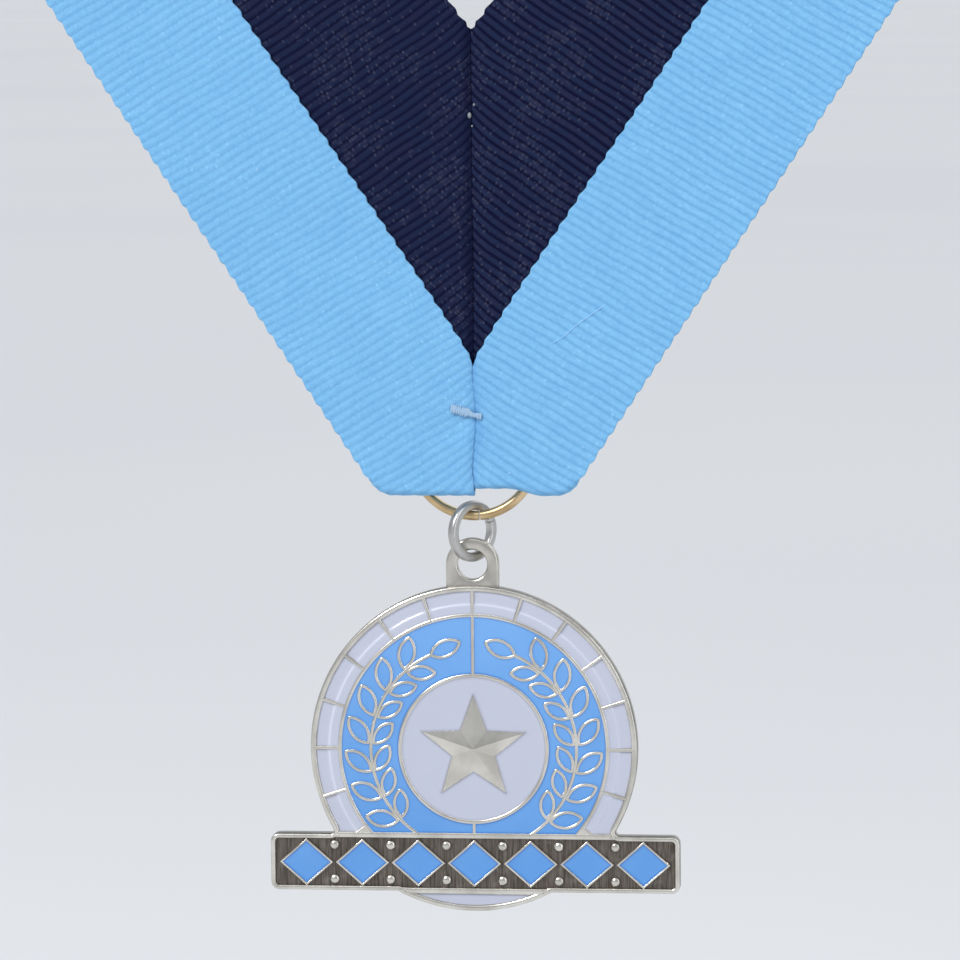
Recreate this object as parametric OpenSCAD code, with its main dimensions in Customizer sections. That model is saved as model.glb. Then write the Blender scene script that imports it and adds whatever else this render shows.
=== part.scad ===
// Enamel medal on a two band neck ribbon, hanging as it is worn.
// X is the wearer's left to right as seen from the front, the medal faces -Y and +Z is up.
// The origin is the middle of the ribbon's inner face at the nape of the neck.
// The ribbon is a straight strap bent without stretch, so its surface is a cone: every ruling
// passes through one apex above the point of the V, and the front of the cone is flat.

/* [Ribbon] */
// Length of the neck loop along the line where the two bands meet
loop_length = 800; // [740:10:860]
// Angle of each strap to the vertical in the V
v_angle = 33.7; // [32:0.1:36]
// Unrolled half angle of the flat front of the loop
flat_half = 10; // [9:0.5:12]
// Width of the outer, light blue band
outer_w = 22.2; // [20:0.1:24]
// Width of the inner, navy band
inner_w = 25.4; // [22:0.1:27]
// Height above the bottom fold at which the two bands meet on the centre line
meet_z = 19.6; // [18:0.1:21]
// Thickness of a band
cloth_t = 1; // [1:0.1:1.2]
// Radius of the two corners of the bottom fold
corner_r = 4; // [2:0.5:5]

/* [Fold and tack] */
// Height of the flat part of the folded tip
flap_h = 10.6; // [9.5:0.1:11]
// Half width of the tip where it passes through the ring
tongue_half = 3.4; // [3:0.1:3.6]
// Height of the end of the folded tip
tongue_top = 19; // [18.5:0.1:20]
// Length of the tack
tack_l = 4.2; // [3:0.1:5]
// Height of the tack
tack_h = 1.1; // [0.8:0.1:1.3]
// Height of the middle of the tack above the bottom fold
tack_z = 12; // [11.5:0.1:12.2]

/* [Rings] */
// Outside diameter of the gold ring
gold_od = 18.9; // [18.6:0.1:19.2]
// Wire diameter of the gold ring
gold_wire = 1.4; // [1.2:0.1:1.5]
// Distance that the gold ring reaches below the bottom fold
gold_drop = 3.8; // [3.6:0.1:4]
// Outside diameter of the jump ring
jump_od = 8.8; // [8.6:0.1:9.4]
// Wire diameter of the jump ring
jump_wire = 1.35; // [1.2:0.05:1.35]
// Turn of the jump ring away from the medal's plane
jump_turn = 50; // [50:1:70]

/* [Medal] */
// Radius of the round body
disc_r = 23.5; // [23.3:0.1:23.7]
// Width of the banner across the body
banner_w = 59; // [57:0.5:62]
// Height of the banner
banner_h = 8.2; // [7.8:0.1:8.2]
// Distance from the middle of the eye to the middle of the banner
banner_drop = 43.1; // [43:0.1:43.2]
// Thickness over the raised lines
medal_t = 2.6; // [2.4:0.1:3]
// Depth of the cells that hold enamel
cell_depth = 0.6; // [0.5:0.05:0.8]
// Distance that the enamel stays below the raised lines
enamel_low = 0.14; // [0.05:0.01:0.2]
// Width of the white border
border_w = 3.4; // [3.2:0.1:3.6]
// Radius of the star, to its points
star_r = 7.9; // [7:0.1:8.4]

/* [Hidden] */
$fn = 96;
BORDERS = 14;
LOZENGES = 7;

// Colours
LIGHT_BLUE = [0.45, 0.70, 0.92];
NAVY = [0.10, 0.13, 0.28];
THREAD = [0.85, 0.88, 0.92];
GOLD = [0.80, 0.66, 0.42];
SILVER = [0.72, 0.70, 0.67];
WHITE_ENAMEL = [0.82, 0.83, 0.90];
BLUE_ENAMEL = [0.40, 0.64, 0.92];

// Cone that the ribbon lies on
half_turn = 90 - v_angle;
meet_r = loop_length / 2 / cos(v_angle);
strap_r = meet_r * sin(v_angle);
apex_z = meet_z + meet_r;
back_tilt = solve_tilt(1, 60, 40);
side_c = side_angle(back_tilt);
side_rho = bend_angle(back_tilt);
side_centre = [sin(side_c), cos(side_c) * sin(back_tilt / 2), -cos(side_c) * cos(back_tilt / 2)];
side_start = ([sin(flat_half), 0, -cos(flat_half)] - cos(side_rho) * side_centre) / sin(side_rho);
side_across = cross(side_start, side_centre);
band_gap = 0.1;
SIDE_STEPS = 30;
FLAT_STEPS = 4;
CORNER_STEPS = 6;

// Bottom fold
edge_tip_z = meet_z - outer_w / sin(v_angle);
corner_x = ((corner_r - edge_tip_z) * sin(v_angle) - corner_r) / cos(v_angle);
tack_x = -1;
tack_slant = 4;
tack_proud = 0.35;
fit_gap = 0.05;
bend_shift = 0.4;
tongue_dip = 2;
tongue_root = 1;

// Rings
link_x = -0.6;
gold_x = -0.3;
gold_r = (gold_od - gold_wire) / 2;
jump_r = (jump_od - jump_wire) / 2;
gold_z = gold_od / 2 - gold_drop;
ring_y = 2 * cloth_t + fit_gap + gold_wire / 2;
ring_slack = 0.1;
jump_z = gold_z - gold_r + gold_wire / 2 + ring_slack - jump_r + jump_wire / 2;
ring_slit = 0.12;
gold_slit_at = 5;
jump_slit_at = 110;

// Eye of the medal
eye_tube = 0.85;
eye_r = 2.95;
eye_slack = 0.45;
eye_z = jump_z - jump_r + jump_wire / 2 + eye_tube + eye_slack - eye_r;
eye_above = 3;
eye_root = 1.4;

// Medal face, from the middle of the eye
rim = 0.6;
line_w = 0.35;
rib_extra = 0.15;
disc_z = -eye_above - disc_r;
front_y = -medal_t / 2;
cell_y = front_y + cell_depth;
enamel_y = front_y + enamel_low;
back_y = medal_t / 2;
cut_y = front_y - 1;
banner_top = -banner_drop + banner_h / 2;
banner_bottom = -banner_drop - banner_h / 2;
border_turn = 18;
border_inner_r = disc_r - rim - border_w;
field_r = border_inner_r - line_w - rib_extra;
medallion_line_r = 10.9;
medallion_r = 10.3;
STAR_POINTS = 5;
star_waist = 0.42;
star_edge = 0.5;
star_peak = 1.15;
stem_r = 14.8;
stem_w = 0.4;
LEAF_PAIRS = 7;
leaf_turn = 15.5;
leaf_first = 133;
leaf_splay = 40;
leaf_offset = 0.4;
outer_leaf = [4.1, 1.9];
inner_leaf = [3.5, 1.55];
banner_r = 1.2;
banner_rim = 0.5;
ground_depth = 0.45;
lozenge_half_w = 3.9;
lozenge_half_h = 3.45;
lozenge_step = 8.1;
lozenge_line = 0.45;
stud_r = 0.75;
stud_z = 2.5;

// Angle of the side bend's centre from the middle plane, for a given tilt of the back
function side_angle(tilt) = atan(tan(flat_half) * cos(tilt / 2));

// Angular radius of the side bend
function bend_angle(tilt) = asin(cos(side_angle(tilt)) * sin(tilt / 2));

// Angle that the side bend sweeps about its own centre
function sweep(tilt) =
    let (
        front = [sin(flat_half), 0, -cos(flat_half)],
        back = [sin(flat_half), cos(flat_half) * sin(tilt), -cos(flat_half) * cos(tilt)],
        rho = bend_angle(tilt)
    )
    acos((front * back - cos(rho) * cos(rho)) / (sin(rho) * sin(rho)));

// Unrolled angle from the middle of the front to the middle of the back
function unrolled(tilt) = 2 * flat_half + sin(bend_angle(tilt)) * sweep(tilt);

// Tilt of the back at which the unrolled strap just closes, by halving the interval
function solve_tilt(low, high, steps) =
    let (middle = (low + high) / 2)
    steps == 0 ? middle
        : unrolled(middle) < half_turn ? solve_tilt(middle, high, steps - 1)
        : solve_tilt(low, middle, steps - 1);

// Direction of the ruling at unrolled angle s, on the right half of the loop
function ruling(s) =
    s <= flat_half ? [sin(s), 0, -cos(s)]
        : s >= half_turn - flat_half
            ? let (w = half_turn - s) [sin(w), cos(w) * sin(back_tilt), -cos(w) * cos(back_tilt)]
            : let (t = (s - flat_half) / sin(side_rho))
                cos(side_rho) * side_centre
                    + sin(side_rho) * (cos(t) * side_start + sin(t) * side_across);

// Direction into the loop, square to the cloth, at unrolled angle s
function inward(s) =
    s <= flat_half ? [0, 1, 0]
        : s >= half_turn - flat_half ? [0, -cos(back_tilt), -sin(back_tilt)]
        : (side_centre - cos(side_rho) * ruling(s)) / sin(side_rho);

// Distance from the apex, along the ruling at s, of a line that lies w outside the meeting line
function strap_reach(s, w) = (strap_r + w) / cos(half_turn - s);

// Point of the loop: side is 1 for the right half and -1 for the left, depth is into the loop
function loop_point(s, r, depth, side) =
    let (p = [0, 0, apex_z] + r * ruling(s) + depth * inward(s))
    [side * p[0], p[1], p[2]];

// Stations of the right half past the flat front, as unrolled angles
side_stations = [
    for (i = [1:SIDE_STEPS]) flat_half + (half_turn - 2 * flat_half) * i / SIDE_STEPS,
    for (i = [1:FLAT_STEPS]) half_turn - flat_half * (1 - i / FLAT_STEPS)
];

// Stations across the bottom fold, as [unrolled angle, reach], from its rounded corner
corner_stations = [
    for (i = [0:CORNER_STEPS])
        let (
            t = -90 + (90 - v_angle) * i / CORNER_STEPS,
            x = corner_x + corner_r * cos(t),
            z = corner_r + corner_r * sin(t)
        )
        [atan2(x, apex_z - z), norm([x, apex_z - z])]
];
outer_stations = concat(
    [[0, apex_z]],
    corner_stations,
    [[flat_half, strap_reach(flat_half, outer_w)]],
    [for (s = side_stations) [s, strap_reach(s, outer_w)]]
);
inner_stations = [for (s = concat([0, flat_half], side_stations)) [s, strap_reach(s, -band_gap)]];

// The four corners of the band's section at one station
function section(station, top_w, side) =
    let (s = station[0], low = station[1], high = strap_reach(s, top_w))
    [
        loop_point(s, low, 0, side),
        loop_point(s, high, 0, side),
        loop_point(s, high, cloth_t, side),
        loop_point(s, low, cloth_t, side)
    ];

// Nape of the neck, on the inner face in the middle of the strap
nape = loop_point(half_turn, strap_r + (outer_w - inner_w) / 2, cloth_t, 1);

// Puts a piece that is drawn from the bottom fold into the part's frame
module hung() {
    translate(-nape) children();
}

// A closed band of cloth: right stations from the front to the back, then the left ones back
module band(stations, top_w) {
    count = len(stations);
    left = [for (i = [count - 2:-1:1]) stations[i]];
    rings = concat(
        [for (st = stations) section(st, top_w, 1)],
        [for (st = left) section(st, top_w, -1)]
    );
    total = len(rings);
    polyhedron(
        points = [for (ring = rings) for (p = ring) p],
        faces = [
            for (i = [0:total - 1])
                let (a = 4 * i, b = 4 * ((i + 1) % total))
                for (k = [0:3])
                    let (m = (k + 1) % 4)
                    for (face = [[a + k, b + k, b + m], [a + k, b + m, a + m]]) face
        ]
    );
}

module outer_band() {
    color(LIGHT_BLUE) hung() band(outer_stations, 0);
}

module inner_band() {
    color(NAVY) hung() band(inner_stations, -inner_w);
}

// An upright plate between two depths, from an outline in X and Z
module upright(front, back) {
    translate([0, back, 0]) rotate([90, 0, 0]) linear_extrude(back - front) children();
}

// A strip of the given width along X, from a profile in Y and Z
module across(width) {
    rotate([90, 0, 90]) linear_extrude(width, center = true) children();
}

// The tip of the V, folded up behind: a triangle at first, then a tongue over the gold ring
module fold_tongue() {
    behind = cloth_t;
    over = ring_y + gold_wire / 2 + fit_gap;
    flap_half = corner_x * (1 + flap_h / edge_tip_z);
    ring_low = gold_z + gold_r - gold_wire;
    ring_high = gold_z + gold_r + gold_wire;
    color(LIGHT_BLUE) hung() union() {
        upright(behind, behind + cloth_t) polygon([
            [-corner_x, 0], [corner_x, 0], [flap_half, flap_h], [-flap_half, flap_h]
        ]);
        across(2 * tongue_half) polygon([
            [behind, flap_h - tongue_root],
            [behind, flap_h + bend_shift],
            [over, ring_low],
            [over, ring_high],
            [behind, ring_high + tongue_dip],
            [behind, tongue_top],
            [behind + cloth_t, tongue_top],
            [behind + cloth_t, ring_high + tongue_dip + bend_shift],
            [over + cloth_t, ring_high + bend_shift],
            [over + cloth_t, ring_low - bend_shift],
            [behind + cloth_t, flap_h],
            [behind + cloth_t, flap_h - tongue_root]
        ]);
    }
}

// The bar of thread that holds the fold
module tack() {
    end_r = tack_h / 2;
    half_run = tack_l / 2 - end_r;
    color(THREAD) hung() upright(-tack_proud, 0)
        translate([tack_x, tack_z]) rotate(-tack_slant) union() {
            square([2 * half_run, tack_h], center = true);
            translate([-half_run, 0]) circle(r = end_r);
            translate([half_run, 0]) circle(r = end_r);
        }
}

// A ring of round wire in the XZ plane, with a slit at the given angle from its lowest point
module wire_ring(r, wire, slit_at) {
    difference() {
        rotate([90, 0, 0]) rotate_extrude() translate([r, 0]) circle(d = wire);
        rotate([0, -slit_at, 0]) translate([0, 0, -r])
            cube([ring_slit, 2 * wire, 2 * wire], center = true);
    }
}

module gold_ring() {
    color(GOLD) hung() translate([gold_x, ring_y, gold_z]) wire_ring(gold_r, gold_wire, gold_slit_at);
}

module jump_ring() {
    color(SILVER) hung() translate([link_x, ring_y, jump_z])
        rotate([0, 0, jump_turn]) wire_ring(jump_r, jump_wire, jump_slit_at);
}

// Puts a piece of the medal, drawn from the middle of the eye, where it hangs
module on_medal() {
    hung() translate([link_x, ring_y, eye_z]) children();
}

// A round shape about the middle of the disc
module round_at_disc(r) {
    translate([0, disc_z]) circle(r = r);
}

// A rectangle with round corners
module rounded(w, h, r) {
    square([w - 2 * r, h], center = true);
    square([w, h - 2 * r], center = true);
    for (x = [-1, 1]) for (z = [-1, 1])
        translate([x * (w / 2 - r), z * (h / 2 - r)]) circle(r = r);
}

module banner(inset) {
    translate([0, -banner_drop]) rounded(banner_w - 2 * inset, banner_h - 2 * inset, banner_r - inset);
}

// All that lies above a height on the medal
module above(z) {
    translate([-banner_w, z]) square([2 * banner_w, banner_w]);
}

// One segment of the white border, counted clockwise from the left end of the banner
module border_cell(i) {
    turn = (i - (BORDERS + 1) / 2) * border_turn;
    reach = 2 * disc_r;
    intersection() {
        difference() {
            round_at_disc(disc_r - rim);
            round_at_disc(border_inner_r);
        }
        translate([0, disc_z]) rotate(-turn) translate([0, reach / 2])
            difference() {
                polygon([
                    [0, -reach / 2],
                    [reach * tan(border_turn / 2), reach / 2],
                    [-reach * tan(border_turn / 2), reach / 2]
                ]);
                for (side = [-1, 1]) translate([0, -reach / 2]) rotate(side * border_turn / 2)
                    translate([-line_w / 2, 0]) square([line_w, 2 * reach]);
            }
        above(banner_top + line_w);
    }
}

// The white border where it shows again below the banner
module foot_cell() {
    difference() {
        round_at_disc(disc_r - rim);
        above(banner_bottom - line_w);
    }
}

// Five pointed star, as points on two circles
function star_outline(r) = [
    for (i = [0:2 * STAR_POINTS - 1])
        let (turn = 180 * i / STAR_POINTS, reach = i % 2 == 0 ? r : r * star_waist)
        [reach * sin(turn), reach * cos(turn)]
];

module medallion_cell() {
    round_at_disc(medallion_r);
}

// A pointed leaf along X, the overlap of two circles, drawn out by grow
module leaf(size, grow) {
    r = (size[0] * size[0] + size[1] * size[1]) / (4 * size[1]);
    intersection() {
        translate([0, r - size[1] / 2]) circle(r = r + grow);
        translate([0, size[1] / 2 - r]) circle(r = r + grow);
    }
}

// Puts a shape on the stem of the right branch, at an angle from the top, along the growth
module on_stem(turn) {
    translate([0, disc_z]) rotate(-turn) translate([0, stem_r]) rotate(180) children();
}

// The leaves of the right branch: pairs along the stem, and one at its end
module branch(grow) {
    for (i = [0:LEAF_PAIRS - 1]) on_stem(leaf_first - i * leaf_turn) {
        rotate(-leaf_splay) translate([outer_leaf[0] / 2 + line_w, -leaf_offset]) leaf(outer_leaf, grow);
        rotate(leaf_splay) translate([inner_leaf[0] / 2 + line_w, leaf_offset]) leaf(inner_leaf, grow);
    }
    on_stem(leaf_first - LEAF_PAIRS * leaf_turn)
        translate([outer_leaf[0] / 2 + line_w, 0]) leaf(outer_leaf, grow);
}

// The stem of the right branch, from behind the banner to the last leaf
module stem() {
    intersection() {
        difference() {
            round_at_disc(stem_r + stem_w / 2);
            round_at_disc(stem_r - stem_w / 2);
        }
        translate([0, disc_z]) polygon([
            for (turn = [leaf_first - LEAF_PAIRS * leaf_turn:5:180])
                2 * stem_r * [sin(turn), cos(turn)],
            [0, -2 * stem_r],
            [0, 0]
        ]);
    }
}

// The blue ground of the right half of the disc, round the branch
module field_cell() {
    difference() {
        intersection() {
            round_at_disc(field_r);
            translate([line_w / 2, banner_top + line_w]) square([disc_r, 2 * disc_r]);
        }
        round_at_disc(medallion_line_r);
        branch(line_w);
        stem();
    }
}

module lozenge_outline(grow) {
    polygon([
        [-lozenge_half_w - grow, 0], [0, lozenge_half_h + grow],
        [lozenge_half_w + grow, 0], [0, -lozenge_half_h - grow]
    ]);
}

function lozenge_x(i) = (i - (LOZENGES + 1) / 2) * lozenge_step;

module lozenge_cell(i) {
    translate([lozenge_x(i), -banner_drop]) lozenge_outline(-lozenge_line);
}

// The sunk ground of the banner, round its lozenges and studs
module ground_cell() {
    difference() {
        banner(banner_rim);
        translate([0, -banner_drop]) {
            for (i = [1:LOZENGES]) translate([lozenge_x(i), 0]) lozenge_outline(0);
            for (i = [1:LOZENGES - 1]) for (z = [-1, 1])
                translate([lozenge_x(i) + lozenge_step / 2, z * stud_z]) circle(r = stud_r);
        }
    }
}

// Eye for the jump ring: a round ring on a short flat neck as wide as the ring
module eye() {
    half_w = eye_r + eye_tube;
    neck_h = eye_above + eye_root;
    rotate([90, 0, 0]) rotate_extrude() translate([eye_r, 0]) circle(r = eye_tube);
    upright(-eye_tube, eye_tube) difference() {
        translate([-half_w, -neck_h]) square([2 * half_w, neck_h]);
        circle(r = eye_r);
    }
}

// The struck plate, with its raised lines and the cells between them
module medal_plate() {
    color(SILVER) on_medal() difference() {
        union() {
            upright(front_y, back_y) union() {
                round_at_disc(disc_r);
                banner(0);
            }
            eye();
        }
        upright(cut_y, cell_y) {
            medallion_cell();
            for (i = [1:BORDERS]) border_cell(i);
            foot_cell();
            for (side = [0, 1]) mirror([side, 0]) {
                field_cell();
                branch(0);
            }
            for (i = [1:LOZENGES]) lozenge_cell(i);
        }
        upright(cut_y, front_y + ground_depth) ground_cell();
    }
}

// Enamel that fills the cells
module enamel(shade) {
    color(shade) on_medal() upright(enamel_y, cell_y) children();
}

module border(i) {
    enamel(WHITE_ENAMEL) border_cell(i);
}

module border_foot() {
    enamel(WHITE_ENAMEL) foot_cell();
}

module medallion_enamel() {
    enamel(WHITE_ENAMEL) difference() {
        medallion_cell();
        translate([0, disc_z]) polygon(star_outline(star_r));
    }
}

module field(side) {
    enamel(BLUE_ENAMEL) mirror([side, 0]) field_cell();
}

module laurel(side) {
    enamel(BLUE_ENAMEL) mirror([side, 0]) branch(0);
}

module lozenge(i) {
    enamel(BLUE_ENAMEL) lozenge_cell(i);
}

// The star: an upright edge, and facets that rise from it to a ridge on each point
module star() {
    outline = star_outline(star_r);
    count = len(outline);
    top_y = cell_y - star_edge;
    color(SILVER) on_medal() translate([0, 0, disc_z]) polyhedron(
        points = concat(
            [for (p = outline) [p[0], cell_y, p[1]]],
            [for (p = outline) [p[0], top_y, p[1]]],
            [[0, cell_y, 0], [0, cell_y - star_peak, 0]]
        ),
        faces = [
            for (i = [0:count - 1])
                let (j = (i + 1) % count)
                for (face = [
                    [i, 2 * count, j],
                    [i, j, count + j],
                    [i, count + j, count + i],
                    [count + i, count + j, 2 * count + 1]
                ]) face
        ]
    );
}

outer_band();
inner_band();
fold_tongue();
tack();
gold_ring();
jump_ring();
medal_plate();
medallion_enamel();
star();
field(1);  // field_left
field(0);  // field_right
laurel(1);  // laurel_left
laurel(0);  // laurel_right
border_foot();
for (i = [1:BORDERS]) border(i);
for (i = [1:LOZENGES]) lozenge(i);
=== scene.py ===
# %% [markdown]
# # An enamel medal on a neck ribbon
# The medal hangs as it is worn: a loop of two woven bands ends in a V, the tip of the V is folded up
# behind and tacked, a gold ring lies in the fold, and a jump ring joins it to the medal's eye.
# The CAD model comes first. Every piece made here goes where the CAD solid that it replaces is, so the
# places are read from the solids' boxes and only the driving sizes are written again.

# %% Load the CAD frame
import math
from contextlib import contextmanager

import bmesh
import bpy
import numpy as np
from mathutils import Matrix, Quaternion, Vector
from mathutils.geometry import delaunay_2d_cdt


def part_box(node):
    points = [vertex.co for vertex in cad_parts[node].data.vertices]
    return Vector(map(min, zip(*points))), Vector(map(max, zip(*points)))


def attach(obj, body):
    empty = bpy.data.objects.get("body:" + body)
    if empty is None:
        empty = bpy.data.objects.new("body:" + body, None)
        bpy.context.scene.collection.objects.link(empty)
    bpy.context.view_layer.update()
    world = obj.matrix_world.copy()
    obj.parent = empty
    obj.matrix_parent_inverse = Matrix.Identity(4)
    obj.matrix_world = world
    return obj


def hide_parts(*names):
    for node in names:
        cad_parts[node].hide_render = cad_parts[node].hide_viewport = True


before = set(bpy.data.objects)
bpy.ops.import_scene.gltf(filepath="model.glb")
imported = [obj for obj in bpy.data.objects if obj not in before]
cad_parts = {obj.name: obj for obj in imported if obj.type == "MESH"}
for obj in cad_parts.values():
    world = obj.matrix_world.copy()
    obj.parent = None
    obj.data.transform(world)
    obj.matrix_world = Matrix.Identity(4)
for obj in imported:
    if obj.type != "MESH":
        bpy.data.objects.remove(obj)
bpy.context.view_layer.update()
MM = 0.001

# %% Places that the pieces are drawn from
band_low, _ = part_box("outer_band")
plate_low, plate_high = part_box("medal_plate")
EYE_OUTER_R = 3.8
fold_at = Vector((0, band_low.y, band_low.z))
eye_at = Vector((
    (plate_low.x + plate_high.x) / 2,
    (plate_low.y + plate_high.y) / 2,
    plate_high.z - EYE_OUTER_R * MM,
))
TO_HUNG = Matrix.Translation(fold_at) @ Matrix.Scale(MM, 4)
TO_MEDAL = Matrix.Translation(eye_at) @ Matrix.Rotation(math.pi / 2, 4, "X") @ Matrix.Scale(MM, 4)
print("bottom fold at", fold_at, "eye at", eye_at)

# %% [markdown]
# ## Camera
# A product photo like this is taken with a long lens, so parallel edges stay nearly parallel. The camera
# stands a little to the right and above, from where the medal's top and right side walls show.

# %% Helper that puts an object in the scene
def into_scene(name, data):
    made = bpy.data.objects.new(name, data)
    bpy.context.scene.collection.objects.link(made)
    return made


# %% Camera
CAMERA_TURN = math.radians(6.5)
CAMERA_RISE = math.radians(6)
CAMERA_ROLL = math.radians(-0.5)
CAMERA_AWAY = 0.75
FRAME_WIDTH = 137.1
FRAME_MIDDLE = (0.86, 0, 2.29)
SENSOR = 36

towards_camera = Vector((
    math.sin(CAMERA_TURN) * math.cos(CAMERA_RISE),
    -math.cos(CAMERA_TURN) * math.cos(CAMERA_RISE),
    math.sin(CAMERA_RISE),
))
camera = into_scene("camera", bpy.data.cameras.new("camera"))
camera.data.sensor_width = SENSOR
camera.data.lens = SENSOR * CAMERA_AWAY / (FRAME_WIDTH * MM * math.cos(CAMERA_TURN))
camera.data.clip_end = 200
camera.location = TO_HUNG @ Vector(FRAME_MIDDLE) + towards_camera * CAMERA_AWAY
upright = towards_camera.to_track_quat("Z", "Y")
camera.rotation_euler = (upright @ Quaternion((0, 0, 1), CAMERA_ROLL)).to_euler()
bpy.context.scene.camera = camera
bpy.context.scene.view_settings.view_transform = "Standard"
print("lens", round(camera.data.lens, 1), "mm")

# %% [markdown]
# ## Helpers for materials
# A material is a tree of nodes. In code each node is made, its sockets are given values or linked to other
# nodes, and the last one feeds the shader. A few helpers keep that short: one lays out a node, one does
# arithmetic, one spreads a value over a range and one blends two colours.

# %% Helpers that lay out nodes and link them
def feed(tree, socket, value):
    if isinstance(value, bpy.types.NodeSocket):
        tree.links.new(value, socket)
    else:
        socket.default_value = value


def node(tree, kind, inputs=None, **settings):
    made = tree.nodes.new(kind)
    for key, value in settings.items():
        setattr(made, key, value)
    for key, value in (inputs or {}).items():
        feed(tree, made.inputs[key], value)
    return made


def maths(tree, operation, *values):
    made = node(tree, "ShaderNodeMath", operation=operation)
    for socket, value in zip(made.inputs, values):
        feed(tree, socket, value)
    return made.outputs[0]


def spread(tree, value, low, high, to_low=0.0, to_high=1.0, smooth=True):
    ends = {"Value": value, "From Min": low, "From Max": high, "To Min": to_low, "To Max": to_high}
    kind = "SMOOTHSTEP" if smooth else "LINEAR"
    return node(tree, "ShaderNodeMapRange", ends, interpolation_type=kind).outputs["Result"]


def blend_colour(tree, factor, first, second):
    # Sockets 0, 6 and 7 of a colour mix are its factor and its two colours
    made = node(tree, "ShaderNodeMix", data_type="RGBA")
    for socket, value in ((made.inputs[0], factor), (made.inputs[6], first), (made.inputs[7], second)):
        feed(tree, socket, (*value, 1) if isinstance(value, tuple) else value)
    return made.outputs[2]


# %% Helpers for patterns on a surface
def object_place(tree):
    return node(tree, "ShaderNodeTexCoord").outputs["Object"]


def noise(tree, place, scale, detail=2.0):
    values = {"Vector": place, "Scale": scale, "Detail": detail}
    return node(tree, "ShaderNodeTexNoise", values).outputs["Fac"]


def stretched(tree, place, by):
    return node(tree, "ShaderNodeVectorMath", {0: place, 1: by}, operation="MULTIPLY").outputs[0]


def raise_surface(tree, shader, height, distance, strength):
    bump = node(tree, "ShaderNodeBump", {"Height": height, "Distance": distance, "Strength": strength})
    tree.links.new(bump.outputs["Normal"], shader.inputs["Normal"])


# %% Helper that starts a material
def material(name, **constants):
    made = bpy.data.materials.new(name)
    made.use_nodes = True
    shader = made.node_tree.nodes["Principled BSDF"]
    for key, value in constants.items():
        shader.inputs[key.replace("_", " ")].default_value = value
    return made, made.node_tree, shader


# %% [markdown]
# ## Floor, room and lamps
# The room's light comes from a pale world, but the camera sees a plain backdrop in its place, a little
# darker, so the floor fades into it and no horizon shows. Two soft suns stand for windows in front and
# behind, and three lamps give the metal and the enamel something large to reflect.

# %% Floor
FLOOR_Z = -0.40
FLOOR_HALF = 40
FLOOR_DARK, FLOOR_PALE = (0.70, 0.71, 0.73), (0.76, 0.77, 0.78)

floor_paint, floor_tree, floor_shader = material("pale_floor", Roughness=0.9)
floor_cloud = noise(floor_tree, object_place(floor_tree), 1.5)
floor_tree.links.new(
    blend_colour(floor_tree, floor_cloud, FLOOR_DARK, FLOOR_PALE), floor_shader.inputs["Base Color"],
)
floor_mesh = bpy.data.meshes.new("floor")
floor_corners = [(x * FLOOR_HALF, y * FLOOR_HALF, FLOOR_Z) for x, y in ((-1, -1), (1, -1), (1, 1), (-1, 1))]
floor_mesh.from_pydata(floor_corners, [], [(0, 1, 2, 3)])
floor_mesh.materials.append(floor_paint)
floor = into_scene("floor", floor_mesh)
print("floor at", FLOOR_Z, "m")

# %% World: pale light from all sides, and a plain backdrop for the camera
ROOM_LIGHT, ROOM_STRENGTH = (0.90, 0.94, 1.0, 1), 0.55
BACKDROP = (0.685, 0.705, 0.735, 1)

world = bpy.data.worlds.new("pale_room")
bpy.context.scene.world = world
world.use_nodes = True
room_tree = world.node_tree
room_light = room_tree.nodes["Background"]
room_light.inputs["Color"].default_value = ROOM_LIGHT
room_light.inputs["Strength"].default_value = ROOM_STRENGTH
backdrop = node(room_tree, "ShaderNodeBackground", {"Color": BACKDROP})
seen = node(room_tree, "ShaderNodeLightPath").outputs["Is Camera Ray"]
room = node(room_tree, "ShaderNodeMixShader", {0: seen, 1: room_light.outputs[0], 2: backdrop.outputs[0]})
room_tree.links.new(room.outputs[0], room_tree.nodes["World Output"].inputs["Surface"])
print("world", world.name)

# %% Lamps
def aim_lamp(name, data, at):
    lamp = into_scene(name, data)
    lamp.location = at
    lamp.rotation_euler = (lamp.location - fold_at).to_track_quat("Z", "Y").to_euler()


def soft_lamp(name, at, size, power, colour):
    data = bpy.data.lights.new(name, "AREA")
    data.shape = "RECTANGLE"
    data.size, data.size_y = size
    data.energy = power
    data.color = colour
    aim_lamp(name, data, at)


def soft_sun(name, at, strength, angle):
    data = bpy.data.lights.new(name, "SUN")
    data.energy = strength
    data.angle = math.radians(angle)
    aim_lamp(name, data, at)


soft_sun("window", (-1.6, -2.0, 1.9), 1.5, 18)
soft_sun("window_behind", (1.5, 2.0, 1.6), 0.5, 50)
soft_lamp("key_upper_left", (-0.55, -0.70, 0.45), (0.35, 0.35), 2.6, (1.0, 0.98, 0.95))
soft_lamp("strip_above", (-0.10, -0.62, 0.55), (1.3, 0.10), 1.1, (1.0, 0.99, 0.97))
soft_lamp("strip_right", (0.60, -0.50, 0.00), (0.12, 0.7), 0.9, (0.95, 0.97, 1.0))

# %% [markdown]
# ## Helpers for meshes
# Most pieces start as plain lists of points and faces worked out with numpy, because their shapes follow
# simple rules. What repeats, or runs along a path, is then made by Geometry Nodes: one tree raises the ribs
# of the cloth, one runs a profile along a drawn line, and one sets copies of a small shape at many places.

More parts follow.
